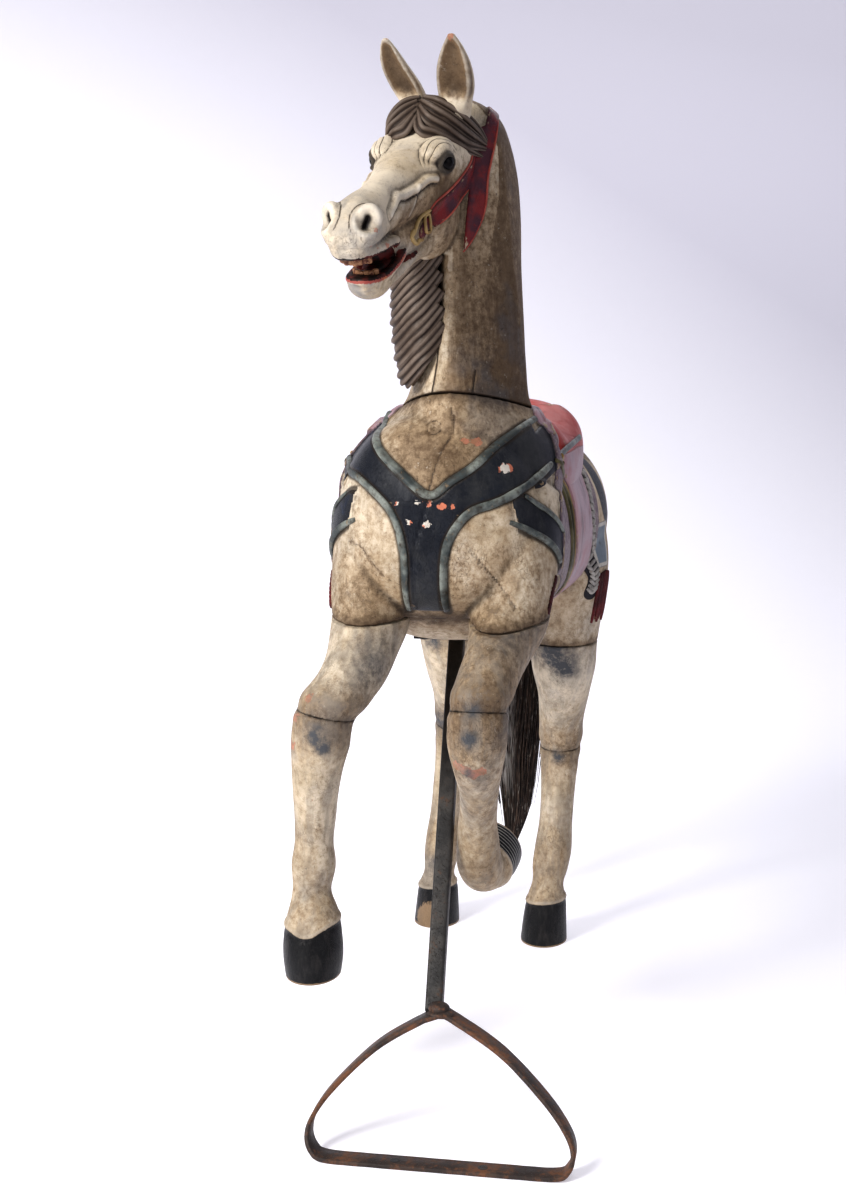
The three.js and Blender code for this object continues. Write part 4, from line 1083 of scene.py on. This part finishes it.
mouth = np.where(onHead & (x > 62) & (z > -104) & (z < -60) & (np.abs(hn[:, 2]) > 0.35)
                 & (((hn[:, 2] < 0) & (z > -80)) | ((hn[:, 2] > 0) & (z < -84))), 1.0, 0.0)
upperLip = np.where(onHead & (x > 100), -1.4 * np.exp(-((z + 55 - 0.05 * (x - 100)) / 3)**2), 0)
move = 3.6 * ease(-1, 2, strap) + brow + ridge + ring - 15 * hole + upperLip
co += no * move[:, None]
setPoints(skull, co)
applied(skull, "SMOOTH", factor=0.5, iterations=1)
co, no = points(skull), normals(skull)
hollow = np.clip(cavity(skull, 8) * 1.3, -3, 3)
nearNeck = np.exp(-(distanceTo(trunk["neckJoint"], co) / 12)**2)
store(skull, "hollow", np.where(nearNeck > 0.15, np.minimum(hollow, 0) - nearNeck * 0.6, hollow))
store(skull, "strap", strap)
store(skull, "eyeRing", np.where(np.abs(y) > 20, r, 90))
store(skull, "brow", np.where(onHead & (z > -8), ease(42, 37, r) * ease(21, 23, r) * ease(2, 8, z), 0))
inkLines = [smoothLine(head["cheekBone"]) + [0, -6.5], smoothLine(head["cheekBranch"]) + [0, -5]]
ink = np.max([np.exp(-(lineDist(l, flat) / 1.9)**2) for l in inkLines], axis=0) * side
ink = np.maximum(ink, 0.85 * np.exp(-((nostril - 22.5) / 1.4)**2) * ease(-34, -22, z))
store(skull, "ink", np.where(onHead, ink, 0))
store(skull, "mouth", mouth)
store(skull, "muzzle", np.where(onHead, ease(135, 185, x) + 0.6 * ease(-62, -88, z) * ease(20, 70, x), 0))
store(skull, "hole", hole)
earHollow = np.where((z > 55) & (x > -72), ease(-0.1, 0.5, hn[:, 0]) * ease(55, 80, z), 0)
store(skull, "lipRed",
      np.where(onHead & (x > 66) & (x < 190), np.exp(-((z + 90 - (x - 60) * -0.1) / 7)**2), 0)
      * np.where(hn[:, 2] > -0.2, 1, 0.3))
# Stains and painted shade for the neck and head: the neck stained all over, with painted shade deepening
# toward the horse's left side, away from the key light, and less of it along the throat ridge; painted shade
# under the jaw and toward the neck; darker patches on the cheeks and inside the ears
paleEdge = 0.2 * np.exp(-((co[:, 0] + 2) / 22)**2) * ease(1260, 1150, co[:, 2])
neckStainAndSideShade = np.where(onHead, 0, 1) * (0.42 + 0.45 * ease(-20, 105, co[:, 0]) - paleEdge)
jawShade = np.where(onHead, 0.25 * ease(-40, -90, z) + 0.35 * ease(60, -20, x) * ease(30, -60, z) * side, 0)
cheekDark = np.where(onHead, side * 0.6 * np.exp(-((x - 80) / 62)**2) * np.exp(-((z + 50) / 26)**2), 0)
cheekDark += np.where(onHead, side * 0.5 * np.exp(-((x - 12) / 45)**2) * np.exp(-((z + 30) / 26)**2), 0)
store(skull, "soil", np.clip(neckStainAndSideShade + jawShade + cheekDark + 0.05 + earHollow * 0.9, 0, 1))
neckJointDark = 1 - ease(0.2, 3.4, np.abs(distanceTo(trunk["neckJoint"], co)))
neckCracks = [[[-6, 1000], [4, 1060], [0, 1105]], [[52, 1000], [56, 1040]]]
neckSplits = cracksOn(co, neckCracks, [0, 2], 1.2) * (co[:, 1] < -200)
store(skull, "split", np.maximum(neckJointDark, neckSplits))
faceSpots = [((195, 30, -50), 5, 0.75), ((180, 35, -55), 5, 0.75), ((160, 35, -60), 5, 0.7),
             ((205, 10, -60), 5, 0.7),
             ((190, 35, -30), 5, 0.7), ((-60, 40, 145), 7, 0.9), ((-60, -50, 140), 5, 0.6),
             ((195, -35, -30), 6, 0.5)]
store(skull, "chips", spotsAt(h, faceSpots))
print("head carved")


def headMaterial():
    material, at = startMaterial("paintedHead")
    tone, rough, height, fine = agedCream(at, -0.08)
    worn = attribute(at, "muzzle") * noise(at, 24.0, 5.0, 0.65).step(0.36, 0.6)
    tone = mixTone(tone, (0.25, 0.24, 0.23), (worn * (0.55 + (fine - 0.5))).clamped())
    base = (tone, rough, height)
    wide = noise(at, 30.0, 5.0, 0.65)
    red = mixTone((0.19, 0.022, 0.024), (0.075, 0.022, 0.034), wide.step(0.4, 0.6))
    base = overPaint(at, base, attribute(at, "strap"), red, 0.4, fine, 0.04)
    tone, rough, height = base
    drips = noise(at, 34.0, 4.0, 0.6, stretch=(1, 1, 0.1)).step(0.5,
                                                                0.68) * attribute(at, "soil").step(0.28, 0.55)
    tone = mixTone(tone, paint["brown"], (drips * 0.45).clamped())
    around = attribute(at, "eyeRing")
    wave = (around * (2 * math.pi / 6.0) - 25 * 2 * math.pi / 6.0).math("COSINE")
    groove = wave.step(0.9, 0.99) * attribute(at, "brow")
    lines = groove.most(attribute(at, "ink").step(0.3, 0.9))
    tone = mixTone(tone, paint["dirt"], (lines * (0.85 + (fine - 0.4))).clamped())
    height = height - lines * 1.2
    rim = 1 - (around + (fine - 0.5) * 4).step(14.5, 18.5)
    tone = mixTone(tone, (0.018, 0.013, 0.011), rim * 0.92)
    lip = attribute(at, "lipRed").step(0.35, 0.75)
    tone = mixTone(tone, mixTone((0.3, 0.05, 0.04), (0.5, 0.16, 0.06), wide.step(0.5, 0.62)), lip * 0.9)
    tone = mixTone(tone, mixTone((0.012, 0.006, 0.005), (0.13, 0.025, 0.02), wide.step(0.45, 0.6)),
                   attribute(at, "mouth").step(0.3, 0.7))
    tone = mixTone(tone, (0.012, 0.008, 0.007), attribute(at, "hole").step(0.35, 0.7))
    return finishMaterial(material, at, tone, rough, height, 0.7, 0.0018)


skull.data.materials.append(headMaterial())
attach(skull, "root")
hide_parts("neck_and_head")


def eyeMaterial():
    material, at = startMaterial("blackGlass")
    iris = noise(at, 90.0, 3.0)
    tone = mixTone((0.001, 0.001, 0.002), (0.006, 0.004, 0.004), iris.step(0.4, 0.7))
    return finishMaterial(material, at, tone, 0.22 + iris * 0.1, iris, 0.02, 0.0002, coat=0.0, specular=0.12)


eyeGlass = eyeMaterial()
for name, s in (("left_eye", 1), ("right_eye", -1)):
    eye = newObject(name + "_glass", posed(ball(2, s * 47.3, 0, 12.4, 12.4, 12.4)))
    eye.data.materials.append(eyeGlass)
    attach(eye, "root")
    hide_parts(name)

mouthParts = {  # each row of teeth: its middle, height, length, half-width and count
    "teethUpper": (166, -69, 30, 23, 9), "teethLower": (144, -97, 26, 18, 7), "tooth": (3.0, 3.4, 6.0),
    "tongue": [[60, 0, -94, 14, 5, 8], [100, 0, -96, 17, 6, 8], [130, 0, -97, 17, 6, 8],
               [150, 0, -99, 11, 4, 5]],
    "palate": [[60, 0, -84, 22, 20, 17], [110, 0, -82, 18, 19, 18], [134, 0, -80, 15, 17, 15],
               [148, 0, -78, 11, 13, 10],
               [156, 0, -76, 6, 7, 6]],
}


def toothRow(x0, z0, length, half, count):
    shapes = []
    for i in range(count):
        a = ((i + 0.5) / count - 0.5) * 2.2
        w, d, t = mouthParts["tooth"]
        rows = [[0, 0, -t, w * 0.7, d * 0.6, d * 0.6], [0, 0, -t * 0.8, w, d, d], [0, 0, 0, w, d, d],
                [0, 0, t, w * 0.9, d, d]]
        verts, faces = carve(rows, sides=16, steps=3, along=(0, 0, 1), power=4)
        turn = np.array([[math.cos(a), -math.sin(a), 0], [math.sin(a), math.cos(a), 0], [0, 0, 1]])
        if z0 < -80:
            verts = verts * [1, 1, -1]
            faces = [f[::-1] for f in faces]
        shapes.append((verts @ turn.T
                       + [x0 + length * math.cos(a), half * math.sin(a), z0 + (i * 37 % 5 - 2) * 0.4], faces))
    return shapes


teeth = newObject("teeth",
                  posed(merged(toothRow(*mouthParts["teethUpper"]) + toothRow(*mouthParts["teethLower"]))))
mouthShapes = [carve(mouthParts["tongue"], sides=24, steps=5, **ahead),
               carve(mouthParts["palate"], sides=32, steps=4, **ahead)]
tongue = newObject("tongue", posed(merged(mouthShapes)))


def toothMaterial():
    material, at = startMaterial("agedTooth")
    fine = noise(at, 160.0, 4.0)
    tone = mixTone((0.36, 0.19, 0.10), (0.12, 0.045, 0.03), fine.step(0.42, 0.62))
    return finishMaterial(material, at, tone, 0.4 + fine * 0.2, fine, 0.4, 0.0008)


def tongueMaterial():
    material, at = startMaterial("darkRedMouth")
    fine = noise(at, 70.0, 4.0)
    tone = mixTone((0.085, 0.012, 0.010), (0.012, 0.005, 0.004), fine.step(0.42, 0.6))
    return finishMaterial(material, at, tone, 0.4 + fine * 0.2, fine, 0.4, 0.001)


teeth.data.materials.append(toothMaterial())
tongue.data.materials.append(tongueMaterial())
for piece in (teeth, tongue):
    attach(piece, "root")

# bridle edges, buckles and the ring at the corner of the mouth
headTree = surfaceTree(skull)


def laidBead(line, side, wide, high, lift=0.3, smooth=True):
    line = smoothLine(line, 4) if smooth else np.array(line, float)
    way = np.array(head["lay"]) * [1, side, 1]
    start = np.array([[p[0], side * head["cheekPlane"], p[1]] + way * 90 for p in line]) @ turnHead.T + headAt
    return bead(headTree, start, fromHeadWay(-way), wide, high, lift, 3)


loops = np.array(head["bridle"])
edges = [laidBead(loops[a:b], s, 1.8, 1.6, 0.0) for s in (1, -1) for a, b in ((1, 9), (11, 15), (18, 25))]
bridleEdge = newObject("bridle_edges", merged([e for e in edges if e]))
bridleEdge.data.materials.append(trimMaterial("salmonEdge", (0.42, 0.1, 0.07), (0.3, 0.05, 0.04), 0.35))
fittings = []
for s in (1, -1):
    fittings.append(laidBead([[66, -50], [80, -49], [83, -71], [68, -75], [66, -50]], s, 2.2, 2.4, 2.0,
                             False))
    fittings.append(laidBead([[60, -47], [84, -47], [102, -52], [114, -62], [122, -64]], s, 2.6, 2.8, 1.0))
    fittings.append(laidBead([[92, -78], [102, -74], [110, -78], [118, -72], [124, -64], [116, -58]], s, 3.0,
                             3.2, 1.0))
gear = newObject("bridle_buckles", merged([f for f in fittings if f]))
gear.data.materials.append(trimMaterial("paintedGold", (0.3, 0.19, 0.07), (0.52, 0.38, 0.18), 0.5))
for piece in (bridleEdge, gear):
    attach(piece, "root")
print("head finished")

mane = {"locks": 12, "top": 1318, "step": 24.5}
forelock = [
    [(-62, -4, 63), (-57, 20, 58), (-66, 42, 42), (-88, 55, 18), (-112, 60, -6)],
    [(-52, -3, 61), (-41, 18, 54), (-50, 40, 37), (-76, 55, 12), (-116, 60, -12)],
    [(-40, -1, 57), (-27, 17, 46), (-37, 36, 31), (-64, 53, 6), (-122, 60, -20)],
    [(-28, 1, 50), (-14, 12, 36), (-24, 29, 26), (-50, 48, 6), (-104, 58, -24)],
    [(-60, -8, 63), (-53, -28, 56), (-45, -44, 38), (-36, -51, 18)],
    [(-50, -7, 61), (-40, -24, 51), (-31, -38, 36), (-26, -47, 16)],
    [(-38, -5, 57), (-25, -18, 45), (-18, -32, 33), (-18, -44, 15)],
    [(-26, -2, 50), (-11, -9, 36), (-7, -23, 30), (-12, -39, 18)],
]
strands = lambda count, depth: (lambda angle, t: 1 - depth * (0.5 + 0.5 * np.cos(angle * count))**1.5)


# Stores a made-up hollow value for painted shade and highlight on the hair: low in each lock's grooves, high
# on its ridges, and low all over the first plain points
def grooves(piece, sides, count, plain=0):
    k = np.arange(len(piece.data.vertices) - plain)
    deep = -1.5 * np.cos(2 * math.pi * (k % sides) / sides * count)
    store(piece, "hollow", np.concatenate([np.full(plain, -0.6), deep]))


def maneShapes():
    shapes = []
    for i in range(mane["locks"]):
        t = i / (mane["locks"] - 1)
        z = mane["top"] - i * mane["step"]
        out = 2 - 52 * math.sin(math.pi * (0.12 + 0.6 * t)) - 4 * t
        crest = -70 - 62 * (1 - t)**4
        rows = [[30, crest, z + 70, 12, 8, 8], [out + 14, -128, z + 44, 21, 13, 13],
                [out, -190, z + 8, 25, 16, 16],
                [out - 2, -240, z - 14, 21, 15, 15], [out + 22, -268, z + 14, 18, 12, 12],
                [out + 54, -262, z + 56, 13, 9, 9]]
        shapes.append(carve(rows, sides=72, steps=9, across=(0, 0, 1), ribs=strands(9, 0.22)))
    return shapes


def forelockShapes():
    shapes = [posed(ball(-46, 0, 36, 24, 42, 24))]
    for line in forelock:
        last = len(line) - 1
        rows = [[*p, *([r] * 3)] for p, r in zip(line, [6.5] + [10.5, 10, 7.5][:last - 1] + [1.6])]
        shapes.append(posed(carve(rows, sides=60, steps=10, across=(1, 0, 0.4), ribs=strands(5, 0.3))))
    return shapes


hair = newObject("mane", merged(maneShapes()))
fringeHair = newObject("forelock", merged(forelockShapes()))


def hairPaint():
    material, at = startMaterial("paintedHair")
    fine = noise(at, 70.0, 5.0, 0.7)
    wide = noise(at, 14.0, 4.0)
    hollow = attribute(at, "hollow")
    # lighter on the strands' ridges and darker in their grooves: painted highlight and painted shade
    tone = mixTone((0.075, 0.053, 0.040), (0.165, 0.13, 0.105),
                   (wide.step(0.4, 0.62) * 0.6 + (fine - 0.5) + hollow * 0.25).clamped())
    tone = mixTone(tone, (0.022, 0.014, 0.01), ((0 - hollow) * 0.75 + (fine - 0.5) * 0.9 - 0.1).clamped())
    return finishMaterial(material, at, tone, 0.5 + (fine - 0.5) * 0.3, fine, 0.6, 0.0015)


hairTone = hairPaint()
grooves(hair, 72, 9)
grooves(fringeHair, 60, 5, len(ball(0, 0, 0, 1, 1, 1)[0]))
for piece in (hair, fringeHair):
    piece.data.materials.append(hairTone)
    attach(piece, "root")

tailLine = {
    "rows": [
        [16, 508, 852, 14, 14, 14], [16, 518, 854, 20, 16, 16], [20, 538, 826, 25, 20, 20],
        [28, 547, 750, 30, 24, 24],
        [36, 549, 640, 35, 24, 24], [40, 549, 520, 38, 24, 24], [32, 545, 400, 45, 24, 24],
        [22, 540, 290, 46, 22, 22],
        [22, 534, 200, 34, 18, 18], [14, 528, 126, 12, 8, 8],
    ],
    "hairs": 190,
}


def tailShapes():
    core = carve([[x, y, z, a * 0.8, b * 0.8, c * 0.8] for x, y, z, a, b, c in tailLine["rows"]], sides=120,
                 steps=8, ribs=strands(30, 0.2))
    shapes = [core]
    st = blendRows(tailLine["rows"], 4)
    for _ in range(tailLine["hairs"]):
        angle, reach, sway = rng.uniform(0, 2 * math.pi), rng.uniform(0.72, 1.0), rng.uniform(-0.7, 0.7)
        end = int(rng.integers(24, len(st)))
        line = []
        for i in range(2, end, 2):
            a = angle + sway * i / len(st)
            line.append(st[i, :3] + [st[i, 3] * reach * math.cos(a), st[i, 4] * reach * math.sin(a), 0])
        shapes.append(tube(np.array(line), 1.1, 1.1, sides=4, taper=0.7))
    return shapes


tail = newObject("tail_hair", merged(tailShapes()))


def tailMaterial():
    material, at = startMaterial("horsehair")
    fine = noise(at, 60.0, 4.0, 0.6, stretch=(6, 6, 0.5))
    tone = mixTone((0.012, 0.009, 0.008), (0.075, 0.05, 0.038), fine.step(0.42, 0.66))
    tone = mixTone(tone, (0.4, 0.37, 0.34),
                   noise(at, 95.0, 2.0, 0.5, stretch=(6, 6, 0.25)).step(0.64, 0.7) * 0.7)
    across = at.make("ShaderNodeSeparateXYZ", None, {"Vector": at}, out=0)
    height = at.make("ShaderNodeSeparateXYZ", None, {"Vector": at}, out=2)
    pale = (1 - across.step(-0.012, 0.012)) * height.step(0.2, 0.3) * (1 - height.step(0.5, 0.6))
    tone = mixTone(tone, (0.5, 0.48, 0.46),
                   (pale * noise(at, 70.0, 3.0, 0.5, stretch=(6, 6, 0.2)).step(0.4, 0.55)).clamped())
    return finishMaterial(material, at, tone, 0.4 + fine * 0.25, fine, 0.7, 0.0015)


tail.data.materials.append(tailMaterial())
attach(tail, "root")
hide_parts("tail")
print("hair finished")

stand = {
    "barHalf": (12, 11, 11), "top": (0, -48, 660), "foot": (27, -431, 165), "plate": (112, 200, 5),
    "plateAt": (2, -40), "strapWide": 31.9, "strapThick": 6,
    "half": 181.8, "apex": (38, -436, 172), "barY": -545, "middle": 54, "screwX": 42, "screwY": 84,
    "holesX": (-6, 112),
}


def barShape():
    top, foot = np.array(stand["top"], float), np.array(stand["foot"], float)
    rows = [[*(foot + (top - foot) * t), *stand["barHalf"]] for t in (0.008, 0.012, 0.5, 0.955)]
    return carve(rows, sides=40, steps=1, power=7)


def loopShape():
    ax, ay, az = stand["apex"]
    low, half, mid = stand["strapThick"] / 2, stand["half"] - stand["strapThick"] / 2, stand["middle"]
    right = [[0.12, 0.96], [0.48, 0.76], [0.8, 0.48], [0.96, 0.28], [1, 0.15], [0.96, 0.05], [0.86, 0.005]]
    place = lambda u, v, s: [mid + s * u * half + (ax - mid) * v, stand["barY"] + (ay - stand["barY"]) * v,
                             low + (az - low) * v]
    line = [[ax, ay, az]] + [place(u, v, 1) for u,
                             v in right] + [place(u, 0, 1)
                                            for u in (0.5, 0, -0.5)] + [place(u, v, -1) for u,
                                                                        v in right[::-1]]
    closed = np.array(line[-2:] + line + line[:2], float)
    dense = blendRows(closed, 8)[16:-16]
    dense[:, 2] = np.maximum(dense[:, 2], low)
    n = len(dense)
    shape = []
    profile = [(-1, -0.6), (-0.93, -1), (0.93, -1), (1, -0.6), (1, 0.6), (0.93, 1), (-0.93, 1), (-1, 0.6)]
    for i in range(n):
        run = unit(dense[(i + 1) % n] - dense[i - 1])
        thick = unit(np.cross(run, (0, 1, 0)))
        rough = 1 + 0.02 * math.sin(i * 1.7) + 0.015 * math.sin(i * 0.6)
        shape += [dense[i] + np.array([0, 1, 0]) * a * stand["strapWide"] / 2 * min(rough, 1.0) + thick * b
                  * low for a, b in profile]
    faces = []
    for i in range(n):
        for k in range(8):
            j, m = (k + 1) % 8, (i + 1) % n
            faces.append((i * 8 + k, m * 8 + k, m * 8 + j, i * 8 + j))
    return np.array(shape), faces


def metalMaterial(name, low, high, rust, amount, metal):
    material, at = startMaterial(name)
    wide = noise(at, 16.0, 5.0, 0.65)
    fine = noise(at, 120.0, 6.0, 0.7)
    tone = mixTone(low, high, wide.step(0.4, 0.62))
    spots = ((wide - 0.5) * 1.6 + (fine - 0.5) * 1.8 + amount).clamped()
    tone = mixTone(tone, rust, spots.step(0.3, 0.75))
    pits = noise(at, 340.0, 3.0).step(0.58, 0.7)
    tone = mixTone(tone, paint["dirt"], pits * 0.6)
    return finishMaterial(material, at, tone, 0.4 + spots * 0.35, fine * 0.7 - pits * 0.5, 0.8, 0.0012,
                          metal=metal)


blackIron = metalMaterial("blackIron", (0.030, 0.029, 0.029), (0.058, 0.054, 0.051), (0.10, 0.055, 0.035),
                          0.14, 0.25)
rustyIron = metalMaterial("rustyIron", (0.045, 0.036, 0.033), (0.09, 0.06, 0.047), (0.17, 0.08, 0.045), 0.38,
                          0.15)
post = newObject("post_bar", barShape())
weld = newObject("post_weld", merged([ball(35, -436, 178, 15, 13, 9), ball(38, -440, 172, 19, 14, 6)]))
loop = newObject("loop_strap", loopShape())
px, py = stand["plateAt"]
wide, long, thick = stand["plate"]
bpy.ops.object.select_all(action="DESELECT")
plateHeight = trunk["belly"] - 0.3 - thick / 2
bpy.ops.mesh.primitive_cube_add(size=1,
                                location=((px - middle[0]) / 1000, (py - middle[1]) / 1000,
                                          plateHeight / 1000),
                                scale=(wide / 1000, long / 1000, thick / 1000))
plate = bpy.context.object
plate.name = "belly_plate_iron"
bpy.ops.object.transform_apply(location=True, rotation=True, scale=True)
applied(plate, "BEVEL", width=0.0015, segments=3)
screws = []
for sx in (-1, 1):
    for sy in (-1, 1):
        cx, cy, cz = px + sx * stand["screwX"], py + sy * stand["screwY"], trunk["belly"] - thick - 0.6
        rows = [[cx, cy, cz - 2.6, 2.5, 2.5, 2.5], [cx, cy, cz - 2, 6, 6, 6], [cx, cy, cz + 0.4, 7, 7, 7]]
        screws.append(carve(rows, sides=24, steps=3, along=(0, 0, 1)))
screwHeads = newObject("plate_screws", merged(screws))
holes = []
for cx in stand["holesX"]:
    y0 = stand["barY"]
    rows = [[cx, y0, 5.8, 7.5, 7.5, 7.5], [cx, y0, 6.3, 6.2, 6.2, 6.2], [cx, y0, 6.35, 5, 5, 5]]
    holes.append(carve(rows, sides=24, steps=2, along=(0, 0, 1)))
holeRims = newObject("strap_holes", merged(holes))
ironPieces = [
    (post, "stand_post", "black_iron", blackIron), (loop, "stand_loop", "rusty_iron", rustyIron),
    (plate, "belly_plate", "black_iron", blackIron), (weld, None, "black_iron", rustyIron),
    (screwHeads, None, "black_iron", blackIron), (holeRims, None, "black_iron", blackIron),
]
for piece, node, slot, material in ironPieces:
    piece.data.materials.clear()
    piece.data.materials.append(material)
    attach(piece, "root")
    if node:
        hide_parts(node)
print("stand finished")

viewpoint = {"lens": 53.1, "x": 0.41426, "y": -2.71329, "height": 1.11, "down": 9, "round": 10}
camera = bpy.data.objects.new("camera", bpy.data.cameras.new("camera"))
camera.data.lens = viewpoint["lens"]
camera.location = (viewpoint["x"] - middle[0] / 1000, viewpoint["y"] - middle[1] / 1000, viewpoint["height"])
camera.rotation_euler = (math.radians(90 - viewpoint["down"]), 0, math.radians(viewpoint["round"]))
bpy.context.scene.collection.objects.link(camera)
bpy.context.scene.camera = camera


def sweep():
    profile = [(-6.0, 0.0),
               (2.2, 0.0)] + [(2.2 + 1.6 * math.sin(a), 1.6 - 1.6 * math.cos(a))
                              for a in np.linspace(0.1, math.pi / 2, 16)] + [(3.8, 5.0)]
    verts = [(x, y, z) for y, z in profile for x in (-7, 7)]
    faces = [(2 * i, 2 * i + 1, 2 * i + 3, 2 * i + 2) for i in range(len(profile) - 1)]
    mesh = bpy.data.meshes.new("paper_sweep")
    mesh.from_pydata(verts, [], faces)
    for p in mesh.polygons:
        p.use_smooth = True
    obj = bpy.data.objects.new("paper_sweep", mesh)
    bpy.context.scene.collection.objects.link(obj)
    return obj


floor = sweep()
material, at = startMaterial("paper")
grain = noise(at, 30.0, 3.0)
height = at.make("ShaderNodeSeparateXYZ", None, {"Vector": at}, out=2)
across = at.make("ShaderNodeSeparateXYZ", None, {"Vector": at}, out=0)
# painted shade on the paper: greyer and bluer toward the right and the top
shade = ((across + 0.9) * 0.35 + (height - 0.3) * 0.55 + (grain - 0.5) * 0.02).clamped()
lilacShade = mixTone((0.42, 0.415, 0.465), (0.56, 0.55, 0.615), height.step(0.1, 2.2))
paperTone = mixTone((0.93, 0.925, 0.96), lilacShade, shade)
floor.data.materials.append(finishMaterial(material, at, paperTone, 0.9 + grain * 0.05, None, specular=0.1))
paper = material.node_tree.nodes["Principled BSDF"]
# the paper glows as painted light, dimmer where it is shaded
glow = mixTone((0.95, 0.94, 1.0), (0.42, 0.41, 0.475), shade)
at.tree.links.new(glow.socket, paper.inputs["Emission Color"])
paper.inputs["Emission Strength"].default_value = 0.36


def areaLight(name, spot, aim, size, power, tone):
    lamp = bpy.data.lights.new(name, "AREA")
    lamp.shape = "DISK"
    lamp.size = size
    lamp.energy = power
    lamp.color = tone
    obj = bpy.data.objects.new(name, lamp)
    obj.location = spot
    obj.rotation_euler = (Vector(aim) - Vector(spot)).to_track_quat("-Z", "Y").to_euler()
    bpy.context.scene.collection.objects.link(obj)


areaLight("key", (-2.0, -2.9, 2.6), (0, -0.1, 0.8), 1.4, 150, (1.0, 0.98, 0.95))
areaLight("fill", (2.8, -2.0, 1.8), (0, 0, 0.8), 2.4, 12, (0.94, 0.96, 1.0))
areaLight("back", (0.6, 2.0, 3.2), (0, 0.3, 0.6), 2.6, 30, (0.97, 0.97, 1.0))
world = bpy.data.worlds.new("studio")
world.use_nodes = True
world.node_tree.nodes["Background"].inputs["Color"].default_value = (0.93, 0.925, 1.0, 1)
world.node_tree.nodes["Background"].inputs["Strength"].default_value = 0.3
bpy.context.scene.world = world
bpy.context.scene.view_settings.view_transform = "Standard"
bpy.context.scene.view_settings.look = "Medium High Contrast"

print("scene finished")
